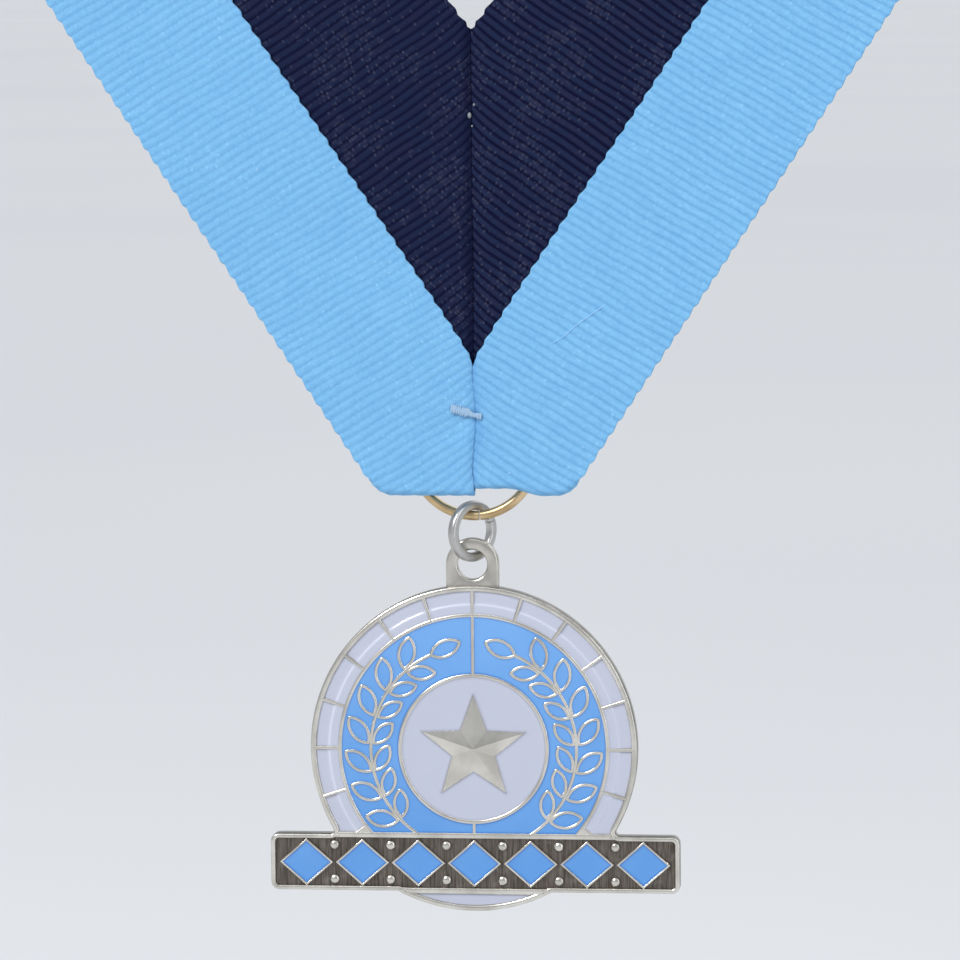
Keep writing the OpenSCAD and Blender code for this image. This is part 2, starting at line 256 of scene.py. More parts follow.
# %% Mesh helpers
def mesh_object(name, points, faces=(), edges=(), values=None):
    mesh = bpy.data.meshes.new(name)
    mesh.from_pydata([tuple(p) for p in points], list(edges), [tuple(f) for f in faces])
    for key, numbers in (values or {}).items():
        numbers = np.asarray(numbers, dtype=np.float32)
        kind = "FLOAT_VECTOR" if numbers.ndim == 2 else "FLOAT"
        layer = mesh.attributes.new(key, kind, "POINT")
        layer.data.foreach_set("vector" if numbers.ndim == 2 else "value", numbers.ravel())
    return into_scene(name, mesh)


def net_faces(rows, columns, close_rows=True, close_net=False):
    faces = []
    for row in range(rows if close_net else rows - 1):
        near, far = row * columns, (row + 1) % rows * columns
        for column in range(columns if close_rows else columns - 1):
            after = (column + 1) % columns
            faces.append((near + column, near + after, far + after, far + column))
    return faces


def as_mesh(name, source):
    depsgraph = bpy.context.evaluated_depsgraph_get()
    mesh = bpy.data.meshes.new_from_object(source.evaluated_get(depsgraph))
    mesh.name = name
    bpy.data.objects.remove(source)
    return mesh


@contextmanager
def editing(mesh):
    form = bmesh.new()
    form.from_mesh(mesh)
    yield form
    form.to_mesh(mesh)
    form.free()


# %% Helpers that finish a piece
def joined(name, meshes, place, paint):
    whole = bmesh.new()
    for mesh in meshes:
        whole.from_mesh(mesh)
    mesh = bpy.data.meshes.new(name)
    whole.to_mesh(mesh)
    whole.free()
    mesh.transform(place)
    mesh.materials.clear()
    mesh.materials.append(paint)
    mesh.polygons.foreach_set("material_index", [0] * len(mesh.polygons))
    return into_scene(name, mesh)


def shade_by_angle(made, degrees):
    made.data.shade_smooth()
    limit = math.radians(degrees)
    with editing(made.data) as form:
        for edge in form.edges:
            edge.smooth = len(edge.link_faces) == 2 and edge.calc_face_angle(0) < limit


def finish_piece(made, body, slot, *nodes):
    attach(made, body)
    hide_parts(*nodes)
    made.data.calc_loop_triangles()
    print(made.name, "rides", body, "triangles", len(made.data.loop_triangles))


# %% Helpers that build Geometry Nodes trees
SOCKETS = {
    float: "NodeSocketFloat",
    bpy.types.Object: "NodeSocketObject",
    bpy.types.Material: "NodeSocketMaterial",
}


def new_tree(name, inputs):
    tree = bpy.data.node_groups.new(name, "GeometryNodeTree")
    tree.interface.new_socket("Geometry", in_out="INPUT", socket_type="NodeSocketGeometry")
    for label, kind in inputs.items():
        tree.interface.new_socket(label, in_out="INPUT", socket_type=SOCKETS[kind])
    tree.interface.new_socket("Geometry", in_out="OUTPUT", socket_type="NodeSocketGeometry")
    return tree, node(tree, "NodeGroupInput").outputs, node(tree, "NodeGroupOutput")


def end_tree(tree, geometry, paint, output):
    real = node(tree, "GeometryNodeRealizeInstances", {"Geometry": geometry}).outputs[0]
    painted = node(tree, "GeometryNodeSetMaterial", {"Geometry": real, "Material": paint}).outputs[0]
    tree.links.new(painted, output.inputs["Geometry"])


def run_tree(name, source, tree, **values):
    modifier = source.modifiers.new(tree.name, "NODES")
    modifier.node_group = tree
    for socket in tree.interface.items_tree:
        key = socket.name.lower().replace(" ", "_")
        if socket.item_type == "SOCKET" and socket.in_out == "INPUT" and key in values:
            modifier[socket.identifier] = values[key]
    return as_mesh(name, source)


# %% Tree that runs a profile along drawn lines
line_tree, given, output = new_tree("raised_line", {
    "Profile": bpy.types.Object, "Paint": bpy.types.Material,
})
line = node(line_tree, "GeometryNodeMeshToCurve", {"Mesh": given["Geometry"]}).outputs[0]
line = node(line_tree, "GeometryNodeSetCurveNormal", {"Curve": line}, mode="Z_UP").outputs[0]
profile = node(line_tree, "GeometryNodeObjectInfo", {"Object": given["Profile"]}).outputs["Geometry"]
profile = node(line_tree, "GeometryNodeMeshToCurve", {"Mesh": profile}).outputs[0]
bar = node(line_tree, "GeometryNodeCurveToMesh", {"Curve": line, "Profile Curve": profile, "Fill Caps": True})
end_tree(line_tree, bar.outputs[0], given["Paint"], output)
print("tree", line_tree.name)

# %% Tree that sets one shape at many places, each turned and sized by the place's own values
place_tree, given, output = new_tree("set_at_places", {
    "Shape": bpy.types.Object, "Paint": bpy.types.Material,
})
turn = node(place_tree, "GeometryNodeInputNamedAttribute", {"Name": "turn"}, data_type="FLOAT_VECTOR")
size = node(place_tree, "GeometryNodeInputNamedAttribute", {"Name": "size"}, data_type="FLOAT_VECTOR")
shape = node(place_tree, "GeometryNodeObjectInfo", {"Object": given["Shape"]}).outputs["Geometry"]
points = node(place_tree, "GeometryNodeMeshToPoints", {"Mesh": given["Geometry"]}).outputs[0]
rotation = node(place_tree, "FunctionNodeEulerToRotation", {"Euler": turn.outputs[0]}).outputs[0]
copies = node(place_tree, "GeometryNodeInstanceOnPoints", {
    "Points": points, "Instance": shape, "Rotation": rotation, "Scale": size.outputs[0],
}).outputs[0]
end_tree(place_tree, copies, given["Paint"], output)
print("tree", place_tree.name)

# %% [markdown]
# ## Grosgrain
# Both bands are grosgrain: a thick weft thread makes a rib across the ribbon about every 1.2 mm, and fine
# warp threads run over the ribs along it. The ribs are real relief, so they catch the light and show at the
# edge. They wander a little, and on the light band they lean. The warp threads are too fine for a mesh, so
# a node group works them out. It also paints shade into the grooves, and paints small highlights, the beads,
# where threads cross. Both read the cloth's own coordinates, which each piece carries in an attribute: across
# the band and along it, in mm. The third coordinate is nothing on the left half and RIGHT_MARK on the right
# half, where the light falls across the ribs, so the shade painted into its grooves is darker.

# %% Helpers that build a shader group and use it
def new_group(name, inputs, outputs):
    group = bpy.data.node_groups.new(name, "ShaderNodeTree")
    for label, default in inputs.items():
        socket = group.interface.new_socket(label, in_out="INPUT", socket_type="NodeSocketFloat")
        socket.default_value = default
    for label in outputs:
        group.interface.new_socket(label, in_out="OUTPUT", socket_type="NodeSocketFloat")
    return group, node(group, "NodeGroupInput").outputs, node(group, "NodeGroupOutput").inputs


def use_group(tree, group, **values):
    made = node(tree, "ShaderNodeGroup", node_tree=group)
    for key, value in values.items():
        made.inputs[key.replace("_", " ")].default_value = value
    return made.outputs


# %% Sizes of the weave in mm, and how the ribs wander
# RIB_MEAN is taken off a rib's shade, so that darker painted groove shade leaves the band's mean tone as it
# is
RIB = 1.215
RIB_MEAN = 0.65
WANDER, WANDER_ACROSS, WANDER_ALONG = 0.09, 0.55, 0.23
YARN, YARN_HEIGHT = 0.27, 0.03
BEAD_ROWS, BEAD_PITCH = 2.0, 0.36
SPECK_DENSITY, SPECK_R = 0.75, 0.07
FUZZ_SCALE, FUZZ_STRETCH, FUZZ_HEIGHT = 1.5, (1.3, 3.0, 1.0), 0.05
STREAK_SCALE, STREAK_STRETCH = 0.4, (0.5, 4.0, 1.0)
DRIFT_SCALE, TONE_SCALE = 0.12, 0.35
RIGHT_MARK = 17.0


def wandering(tree, across, along, skew):
    slope_across = maths(tree, "MULTIPLY", across, WANDER_ACROSS)
    slope_along = maths(tree, "MULTIPLY", along, WANDER_ALONG)
    slope = maths(tree, "ADD", slope_across, slope_along)
    leaning = maths(tree, "ADD", along, maths(tree, "MULTIPLY", across, skew))
    return maths(tree, "ADD", leaning, maths(tree, "MULTIPLY", maths(tree, "SINE", slope), WANDER))


def arches(tree, count):
    return maths(tree, "ABSOLUTE", maths(tree, "SINE", maths(tree, "MULTIPLY", count, math.pi)))


# %% Weave group: its sockets, ribs and yarns, and shade painted into the grooves
weave_inputs = {"Skew": 0.0, "Level": 0.9, "Groove": 0.3, "Right groove": 0.3, "Lint": 0.0, "Beads": 0.0}
weave_outputs = ["Shade", "Height", "Lint mask", "Painted glint mask", "Tone"]
weave, given, out = new_group("grosgrain_weave", weave_inputs, weave_outputs)
cloth_place = node(weave, "ShaderNodeAttribute", attribute_name="weave").outputs["Vector"]
across, along, right_mark = node(weave, "ShaderNodeSeparateXYZ", {"Vector": cloth_place}).outputs
rib_count = maths(weave, "DIVIDE", wandering(weave, across, along, given["Skew"]), RIB)
odd_rib = maths(weave, "MULTIPLY", maths(weave, "MODULO", maths(weave, "FLOOR", rib_count), 2.0), 0.5)
yarn_count = maths(weave, "ADD", maths(weave, "DIVIDE", across, YARN), odd_rib)
yarn_wave = arches(weave, yarn_count)
# Painted shade in the grooves: its depth grows from Groove on the left half to Right groove on the right
# half, where the light falls across the ribs
right_share = maths(weave, "DIVIDE", right_mark, RIGHT_MARK)
extra_right_shade = maths(weave, "SUBTRACT", given["Right groove"], given["Groove"])
painted_groove_shade = maths(weave, "ADD", given["Groove"], maths(weave, "MULTIPLY", extra_right_shade, right_share))
rib_top = maths(weave, "SUBTRACT", spread(weave, arches(weave, rib_count), 0.0, 1.0), RIB_MEAN)
rib_shade = maths(weave, "ADD", given["Level"], maths(weave, "MULTIPLY", rib_top, painted_groove_shade))
print("a rib every", RIB, "mm and a yarn every", YARN, "mm")

# %% Weave group: beads, small highlights painted where threads cross
row_count = maths(weave, "MULTIPLY", rib_count, BEAD_ROWS)
odd_row = maths(weave, "MULTIPLY", maths(weave, "FLOOR", row_count), 0.5)
bead_count = maths(weave, "ADD", maths(weave, "DIVIDE", across, BEAD_PITCH), odd_row)
crossing = node(weave, "ShaderNodeCombineXYZ", {"X": bead_count, "Y": row_count, "Z": right_mark}).outputs[0]
crossing = node(weave, "ShaderNodeVectorMath", {0: crossing}, operation="FLOOR").outputs[0]
bead = node(weave, "ShaderNodeTexWhiteNoise", {"Vector": crossing}, noise_dimensions="3D").outputs["Color"]
bead_pick, glint_strength, bead_tint = node(weave, "ShaderNodeSeparateColor", {"Color": bead}).outputs
drift = noise(weave, cloth_place, DRIFT_SCALE)
bead_share = maths(weave, "MULTIPLY", spread(weave, drift, 0.44, 0.60, 0.12, 1.0), given["Beads"])
bead_shape = maths(weave, "MULTIPLY", arches(weave, bead_count), arches(weave, row_count))
painted_glint_mask = maths(weave, "MULTIPLY", glint_strength, glint_strength)
painted_glint_mask = maths(weave, "MULTIPLY", painted_glint_mask, maths(weave, "LESS_THAN", bead_pick, bead_share))
painted_glint_mask = maths(weave, "MULTIPLY", painted_glint_mask, bead_shape)
print("a bead every", BEAD_PITCH, "mm, in", BEAD_ROWS, "rows to a rib")

# %% Weave group: uneven shade, specks of lint and what it puts out
fuzz = noise(weave, stretched(weave, cloth_place, FUZZ_STRETCH), FUZZ_SCALE, 3.0)
streak = noise(weave, stretched(weave, cloth_place, STREAK_STRETCH), STREAK_SCALE)
tone = noise(weave, cloth_place, TONE_SCALE, 1.0)
shade = rib_shade
for uneven, low, high, darkest, palest in (
    (yarn_wave, 0.0, 1.0, 0.95, 1.02),
    (fuzz, 0.25, 0.75, 0.93, 1.055),
    (drift, 0.3, 0.7, 0.985, 1.015),
    (streak, 0.3, 0.7, 0.97, 1.02),
    (bead_tint, 0.0, 1.0, 0.965, 1.03),
):
    shade = maths(weave, "MULTIPLY", shade, spread(weave, uneven, low, high, darkest, palest))
yarn_height = maths(weave, "MULTIPLY", yarn_wave, YARN_HEIGHT)
fuzz_height = maths(weave, "MULTIPLY", fuzz, FUZZ_HEIGHT)
speck = node(weave, "ShaderNodeTexVoronoi", {"Vector": cloth_place, "Scale": SPECK_DENSITY})
speck_near = maths(weave, "LESS_THAN", speck.outputs["Distance"], SPECK_R)
speck_pick, _, _ = node(weave, "ShaderNodeSeparateColor", {"Color": speck.outputs["Color"]}).outputs
speck_kept = maths(weave, "LESS_THAN", speck_pick, given["Lint"])
weave.links.new(shade, out["Shade"])
weave.links.new(maths(weave, "ADD", yarn_height, fuzz_height), out["Height"])
weave.links.new(maths(weave, "MULTIPLY", speck_near, speck_kept), out["Lint mask"])
weave.links.new(painted_glint_mask, out["Painted glint mask"])
weave.links.new(spread(weave, tone, 0.42, 0.62), out["Tone"])
print("weave group sockets", [socket.name for socket in weave.interface.items_tree])

# %% Ribbon materials
def ribbon_paint(name, dark, light, second_light, shades, lint_colour, painted_glint_colour, sheen, **weave_values):
    # Shades run from dark in the grooves, where shade is painted, to a light that changes slowly between two
    # tones along the band
    paint, tree, shader = material(
        name, Roughness=0.8, Specular_IOR_Level=0.12, Sheen_Weight=sheen, Sheen_Roughness=0.45,
    )
    cloth = use_group(tree, weave, **weave_values)
    yarn_colour = blend_colour(tree, cloth["Tone"], light, second_light)
    base = blend_colour(tree, spread(tree, cloth["Shade"], *shades, smooth=False), dark, yarn_colour)
    # Painted highlights: where threads cross, the beads take a paler colour
    base = blend_colour(tree, cloth["Painted glint mask"], base, painted_glint_colour)
    base = blend_colour(tree, cloth["Lint mask"], base, lint_colour)
    # Painted shade along the seams: there the colour is pulled towards the dark of the grooves
    seam_shade_share = node(tree, "ShaderNodeAttribute", attribute_name="crease").outputs["Fac"]
    base = blend_colour(tree, seam_shade_share, base, dark)
    tree.links.new(base, shader.inputs["Base Color"])
    raise_surface(tree, shader, cloth["Height"], MM, 0.8)
    return paint


# Groove and Right groove set how dark the painted groove shade is on each half
LIGHT_SKEW, NAVY_SKEW = 0.06, 0.0
light_ribbon = ribbon_paint(
    "light_blue_grosgrain",
    dark=(0.085, 0.26, 0.55), light=(0.216, 0.500, 0.775), second_light=(0.224, 0.508, 0.779),
    shades=(0.55, 1.1), lint_colour=(0.5, 0.7, 0.9), painted_glint_colour=(0.26, 0.55, 0.81), sheen=0.12,
    Skew=LIGHT_SKEW, Level=0.9475, Groove=0.128, Right_groove=0.185, Lint=0.03, Beads=0.10,
)
navy_ribbon = ribbon_paint(
    "navy_grosgrain",
    dark=(0.0001, 0.0012, 0.0205), light=(0.0089, 0.0167, 0.0535), second_light=(0.0117, 0.0159, 0.0510),
    shades=(0.35, 1.25), lint_colour=(0.07, 0.09, 0.18), painted_glint_colour=(0.042, 0.047, 0.085), sheen=0.0,
    Skew=NAVY_SKEW, Level=0.825, Groove=0.70, Right_groove=1.12, Lint=0.1, Beads=0.8,
)
print("ribbon materials", light_ribbon.name, navy_ribbon.name)

# %% [markdown]
# ## The loop
# A straight strap that is bent without stretching lies on a cone: flat at the V, bent at the sides and flat
# again at the nape. The strap is drawn unrolled, u across it from the cone's apex and v along it from the
# nape, and each point is then wrapped on to the cone. It is the same rule that the CAD solids follow.

# %% Cone that the strap lies on
V_ANGLE = math.radians(33.7)
FLAT_HALF = math.radians(10)
LOOP_LENGTH = 800
OUTER_W = 22.2
INNER_W = 25.4
MEET_Z = 19.6

half_turn = math.pi / 2 - V_ANGLE
meet_r = LOOP_LENGTH / 2 / math.cos(V_ANGLE)
strap_r = meet_r * math.sin(V_ANGLE)
apex = np.array([0, 0, MEET_Z + meet_r])


def side_bend(tilt):
    angle = math.atan(math.tan(FLAT_HALF) * math.cos(tilt / 2))
    rho = math.asin(math.cos(angle) * math.sin(tilt / 2))
    front = np.array([math.sin(FLAT_HALF), 0, -math.cos(FLAT_HALF)])
    back = np.array([
        math.sin(FLAT_HALF), math.cos(FLAT_HALF) * math.sin(tilt), -math.cos(FLAT_HALF) * math.cos(tilt),
    ])
    swept = math.acos((front @ back - math.cos(rho) ** 2) / math.sin(rho) ** 2)
    centre = np.array([
        math.sin(angle), math.cos(angle) * math.sin(tilt / 2), -math.cos(angle) * math.cos(tilt / 2),
    ])
    return rho, centre, front, 2 * FLAT_HALF + math.sin(rho) * swept


# The back's tilt is searched for by halving, until flat parts and bends together make up half the turn
tilt_low, tilt_high = math.radians(1), math.radians(60)
for _ in range(50):
    tilt = (tilt_low + tilt_high) / 2
    if side_bend(tilt)[3] < half_turn:
        tilt_low = tilt
    else:
        tilt_high = tilt
bend_rho, bend_centre, bend_front, _ = side_bend(tilt)
bend_start = (bend_front - math.cos(bend_rho) * bend_centre) / math.sin(bend_rho)
bend_across = np.cross(bend_start, bend_centre)
print("back tilt", round(math.degrees(tilt), 2), "degrees, strap radius", round(strap_r, 1), "mm")

# %% Wrap unrolled points on to the cone
def on_cone(u, v, depth):
    reach = np.hypot(u, v)
    s = half_turn - np.arctan2(v, u)
    sweep = ((s - FLAT_HALF) / math.sin(bend_rho))[:, None]
    turned = np.cos(sweep) * bend_start + np.sin(sweep) * bend_across
    side = math.cos(bend_rho) * bend_centre + math.sin(bend_rho) * turned
    side_in = (bend_centre - math.cos(bend_rho) * side) / math.sin(bend_rho)
    flat = np.stack([np.sin(s), 0 * s, -np.cos(s)], axis=1)
    flat_in = np.tile([0.0, 1.0, 0.0], (len(s), 1))
    w = half_turn - s
    back = np.stack([np.sin(w), np.cos(w) * math.sin(tilt), -np.cos(w) * math.cos(tilt)], axis=1)
    back_in = np.tile([0.0, -math.cos(tilt), -math.sin(tilt)], (len(s), 1))
    is_flat = (s <= FLAT_HALF)[:, None]
    is_back = (s >= half_turn - FLAT_HALF)[:, None]
    ruling = np.where(is_flat, flat, np.where(is_back, back, side))
    inward = np.where(is_flat, flat_in, np.where(is_back, back_in, side_in))
    return apex + reach[:, None] * ruling + depth * inward


# %% [markdown]
# ## Cloth with its ribs, seam and fold
# One half of a band is a fine net of points, cut where it meets the other half. At the seam the cloth dips
# into a valley and its ribs curl up towards the seam. The light band goes on past the bottom edge: there it
# bends back over the fold, and its narrowing tip is the tongue that holds the ring. Extra lines of points
# are cut where the cloth bends most, so the bends stay round.

# %% Net of one half of a band
RIB_STEPS = 4
INNER_ROWS, INNER_ROWS_IN = 8, 2.6
SELVEDGE_ROWS = np.array([0, 0.16, 0.45, 1.1])
SELVEDGE_PULL = {0: 1.0, 1: 0.75, 2: 0.2}
SELVEDGE_PITCH, SELVEDGE_BUMP, SELVEDGE_SLOPE, SELVEDGE_SHIFT = 2 * RIB, 0.16, 0.7, 0.37


def selvedge(v, phase):
    part = (v / SELVEDGE_PITCH + phase) % 1
    rising = part / SELVEDGE_SLOPE
    falling = (1 - part) / (1 - SELVEDGE_SLOPE)
    return SELVEDGE_BUMP * (np.where(part < SELVEDGE_SLOPE, rising, falling) * 2 - 1)


def half_net(low_u, high_u, bumpy_low, bumpy_high, depth):
    inner_rows = np.linspace(low_u + INNER_ROWS_IN, high_u - INNER_ROWS_IN, INNER_ROWS)
    rows = np.concatenate([low_u + SELVEDGE_ROWS, inner_rows, high_u - SELVEDGE_ROWS[::-1]])
    columns = np.arange(0, high_u * math.tan(half_turn) + RIB, RIB / RIB_STEPS)
    u = np.repeat(rows, len(columns))
    v = np.tile(columns, len(rows))
    pull = np.zeros(len(rows))
    for k, share in SELVEDGE_PULL.items():
        pull[k] = -share if bumpy_low else 0
        pull[len(rows) - 1 - k] = share if bumpy_high else 0
    pull = np.repeat(pull, len(columns))
    points = on_cone(u + pull * selvedge(v, SELVEDGE_SHIFT * (pull < 0)), v, depth)
    form = bmesh.new()
    layer = form.verts.layers.float_vector.new("weave")
    verts = []
    for point, x, y in zip(points, u, v):
        vert = form.verts.new(point)
        vert[layer] = (x, y, 0)
        verts.append(vert)
    for face in net_faces(len(rows), len(columns), close_rows=False):
        form.faces.new([verts[k] for k in face])
    return form


# %% Cut the net at the seam and where it will bend
SEAM_CUTS = (0.25, 0.55, 0.95, 1.5, 2.3)
SEAM_HEIGHT, SEAM_REACH = 120, 30


def cut_net(form, level_cuts):
    cuts = [((x, 0, 0), (1, 0, 0), x == 0) for x in (0, *SEAM_CUTS)]
    cuts += [((0, 0, z), (0, 0, 1), False) for z in level_cuts]
    for place, normal, clear in cuts:
        near = [face for face in form.faces
                if face.calc_center_median().x < SEAM_REACH and face.verts[0].co.z < SEAM_HEIGHT]
        geometry = {e for face in near for e in (face, *face.edges, *face.verts)}
        bmesh.ops.bisect_plane(
            form, geom=list(geometry), plane_co=place, plane_no=normal, clear_inner=clear, dist=1e-4,
        )
    bmesh.ops.dissolve_degenerate(form, edges=form.edges, dist=1e-3)
    return form


# %% Slight waves of the cloth
WAVE, WAVE_ALONG, WAVE_ACROSS, WAVE_SHIFT, WAVE_GROWS = 0.22, 13, 9, 0.6, (6, 40)


def smooth_step(value, low, high):
    t = np.clip((value - low) / (high - low), 0, 1)
    return t * t * (3 - 2 * t)


def cloth_wave(x, z, side):
    rise = smooth_step(z, *WAVE_GROWS)
    wave = WAVE * np.sin(z / WAVE_ALONG + side) * np.sin(x / WAVE_ACROSS + WAVE_SHIFT * side)
    return (wave * rise + WAVE) * rise


# %% Fold of the light band: the tip goes round the bottom edge, up behind, and narrows into the tongue
CORNER_X, CORNER_R = 11.47, 4
FOLD_R = 0.9
WAVES_LEFT = 0.25
TIP_Z = MEET_Z - OUTER_W / math.sin(V_ANGLE)
RIGHT_LIFT, RIGHT_LIFT_FADES = 1.0, (5, 9.5)
TONGUE_HALF, TONGUE_NARROWS, TONGUE_LEVELS = 3.2, (11, 14), (6, 11)
TONGUE_PATH = [
    (1.8, 0.9), (1.8, 9.2), (2.0, 10.3), (3.0, 11.5), (4.0, 12.6), (4.4, 13.7),
    (4.4, 15.2), (4.0, 16.3), (3.0, 17.3), (2.0, 18.2), (1.8, 19.0),
]


def fold_curve():
    turns = np.linspace(0, math.pi, 13)[:-1]
    round_part = [(FOLD_R * (1 - math.cos(t)), FOLD_R * (1 - math.sin(t))) for t in turns]
    path = np.array(round_part + TONGUE_PATH)
    length = np.concatenate([[0], np.cumsum(np.hypot(*np.diff(path, axis=0).T))])
    return length, path


def fold_up(p, flat_x, flat_z, front, side):
    lift = RIGHT_LIFT * (1 - smooth_step(flat_x, *RIGHT_LIFT_FADES)) if side > 0 else 0
    over = np.clip(np.abs(flat_x) - CORNER_X, 0, CORNER_R * math.cos(V_ANGLE))
    fold_z = lift + CORNER_R - np.sqrt(CORNER_R ** 2 - over ** 2)
    length, path = fold_curve()
    gone = (fold_z + FOLD_R - flat_z) * length[-1] / (FOLD_R - TIP_Z)
    bent = front & (gone > 0)
    flat_y = p[:, 1].copy()
    p[bent, 1] = np.interp(gone, length, path[:, 0])[bent] + flat_y[bent] * WAVES_LEFT
    p[bent, 2] = np.interp(gone, length, path[:, 1])[bent] + fold_z[bent]
    half = (flat_z - TIP_Z) * math.tan(V_ANGLE)
    narrow = np.where(half > TONGUE_HALF, TONGUE_HALF / np.maximum(half, 0.1), 1)
    gather = smooth_step(gone, *TONGUE_NARROWS)
    p[:, 0] = np.where(bent, flat_x * (1 - gather * (1 - narrow)), p[:, 0])
    p[:, 2] -= np.where(bent, fold_z * smooth_step(gone, *TONGUE_LEVELS), 0)
    return front & (gone <= 0)


# %% Seam of the light band: it strays, opens at its top, sinks at the tack and its right side tucks under; shade is painted along it
TACK_X, TACK_Z = -1.0, 12.0
STRAY, STRAY_PERIOD, STRAY_FROM, STRAY_WIDTH = 0.3, 20, 5.5, 3
STRAY_GROWS, STRAY_FADES = (0.5, 3), (15, 20)
TOP_GAP, TOP_GAP_WIDTH, TOP_GAP_GROWS = 0.35, 1.2, (18.2, 19.7)
DENT, DENT_X, DENT_Z, DENT_HALF_W, DENT_HALF_H = 0.42, TACK_X - 1.2, TACK_Z - 1.8, 2.6, 1.7
TUCK, TUCK_WIDTH, TUCK_GROWS, TUCK_FADES = 0.5, 0.8, (2.2, 4.5), (12, 17)
STEP_BACK, STEP_BACK_WIDTH, STEP_BACK_GROWS, STEP_BACK_FADES = 0.14, 1.5, (-1, 2), (11, 15)
LEFT_SEAM_SHADE, LEFT_SEAM_SHADE_WIDTH = 0.5, 0.42
RIGHT_SEAM_SHADE, RIGHT_SEAM_SHADE_WIDTH, WIDER_BY, WIDEST_AT, WIDE_PART = 0.65, 0.6, 0.7, 8, 2.2
SEAM_SHADE_LEAST, SEAM_SHADE_GROWS, SEAM_SHADE_FADES = 0.4, (1.5, 5), (18, 20.5)


def only_between(value, grows, fades):
    return smooth_step(value, *grows) * (1 - smooth_step(value, *fades))


def sew_light_seam(p, flat_x, flat_z, front, unfolded, weight, side):
    stray = STRAY * np.sin(2 * math.pi * (flat_z - STRAY_FROM) / STRAY_PERIOD)
    stray = stray * only_between(flat_z, STRAY_GROWS, STRAY_FADES) * side
    p[:, 0] += np.where(unfolded, stray * np.exp(-(flat_x / STRAY_WIDTH) ** 2), 0)
    top_gap = TOP_GAP * smooth_step(flat_z, *TOP_GAP_GROWS) * np.exp(-flat_x / TOP_GAP_WIDTH)
    p[:, 0] += np.where(front, top_gap * weight, 0)
    from_dent = np.hypot((flat_x * side - DENT_X) / DENT_HALF_W, (flat_z - DENT_Z) / DENT_HALF_H)
    p[:, 1] += np.where(front, DENT * np.exp(-from_dent ** 2), 0)
    # Painted shade next to the seam. It is wider on the right half, which lies under the left half's edge
    crease = LEFT_SEAM_SHADE * np.exp(-flat_x / LEFT_SEAM_SHADE_WIDTH)
    if side > 0:
        tuck = TUCK * np.exp(-flat_x / TUCK_WIDTH) * only_between(flat_z, TUCK_GROWS, TUCK_FADES)
        p[:, 0] -= np.where(unfolded, tuck, 0)
        step_back = STEP_BACK * np.exp(-flat_x / STEP_BACK_WIDTH)
        step_back = step_back * only_between(flat_z, STEP_BACK_GROWS, STEP_BACK_FADES)
        p[:, 1] += np.where(front, step_back, 0)
        painted_seam_shade_width = RIGHT_SEAM_SHADE_WIDTH + WIDER_BY * np.exp(-((flat_z - WIDEST_AT) / WIDE_PART) ** 2)
        crease = np.minimum(RIGHT_SEAM_SHADE * np.exp((tuck - flat_x) / painted_seam_shade_width), RIGHT_SEAM_SHADE)
    crease = crease * (SEAM_SHADE_LEAST + (1 - SEAM_SHADE_LEAST) * smooth_step(flat_z, *SEAM_SHADE_GROWS))
    crease = crease * (1 - smooth_step(flat_z, *SEAM_SHADE_FADES))
    return np.where(unfolded, crease, 0)


# %% Give one half of a band its seam, waves and fold, and put it on its side
FRONT_Y = 3
SEAM_FADES = (95, 118)
CURL_WIDTH, LIGHT_CURL_FADES = 1.3, (14, 19)
NAVY_SEAM_SHADE, NAVY_SEAM_SHADE_WIDTH = 0.6, 0.95
RIGHT_MARK_GROWS = (5, 60)


def dress(form, side, seam, is_light):
    painted_seam_shade_layer = form.verts.layers.float.new("crease")
    weave_layer = form.verts.layers.float_vector["weave"]
    verts = list(form.verts)
    if side > 0:
        for vert in verts:
            u, v, _ = vert[weave_layer]
            vert[weave_layer] = (u, v, RIGHT_MARK * smooth_step(v, *RIGHT_MARK_GROWS))
    p = np.array([v.co for v in verts])
    flat_x, flat_z = p[:, 0].copy(), p[:, 2].copy()
    front = (p[:, 1] < FRONT_Y) & (flat_z < SEAM_HEIGHT)
    weight = 1 - smooth_step(flat_z, *SEAM_FADES)
    dip, dip_width, curl = seam
    p[:, 1] += np.where(front, dip * np.exp(-(flat_x / dip_width) ** 2) * weight, 0)
    curled = curl * np.exp(-flat_x / CURL_WIDTH) * weight
    curled = curled * (1 - smooth_step(flat_z, *LIGHT_CURL_FADES)) if is_light else curled
    p[:, 2] += np.where(front, curled, 0)
    p[:, 1] += np.where(front, cloth_wave(flat_x, flat_z, side) * weight, 0)
    # Painted shade along the seam, kept for each point: on both halves of the light band and on the left half
    # of the navy band
    crease = np.zeros(len(p))
    if is_light:
        unfolded = fold_up(p, flat_x, flat_z, front, side)
        crease = sew_light_seam(p, flat_x, flat_z, front, unfolded, weight, side)
    elif side < 0:
        crease = np.where(front, NAVY_SEAM_SHADE * np.exp(-(flat_x / NAVY_SEAM_SHADE_WIDTH) ** 2) * weight, 0)
    for vert, point, seam_shade_share in zip(verts, p, crease):
        vert.co = (point[0] * side, point[1], point[2])
        vert[painted_seam_shade_layer] = seam_shade_share
    if side < 0:
        bmesh.ops.reverse_faces(form, faces=form.faces)
    return form


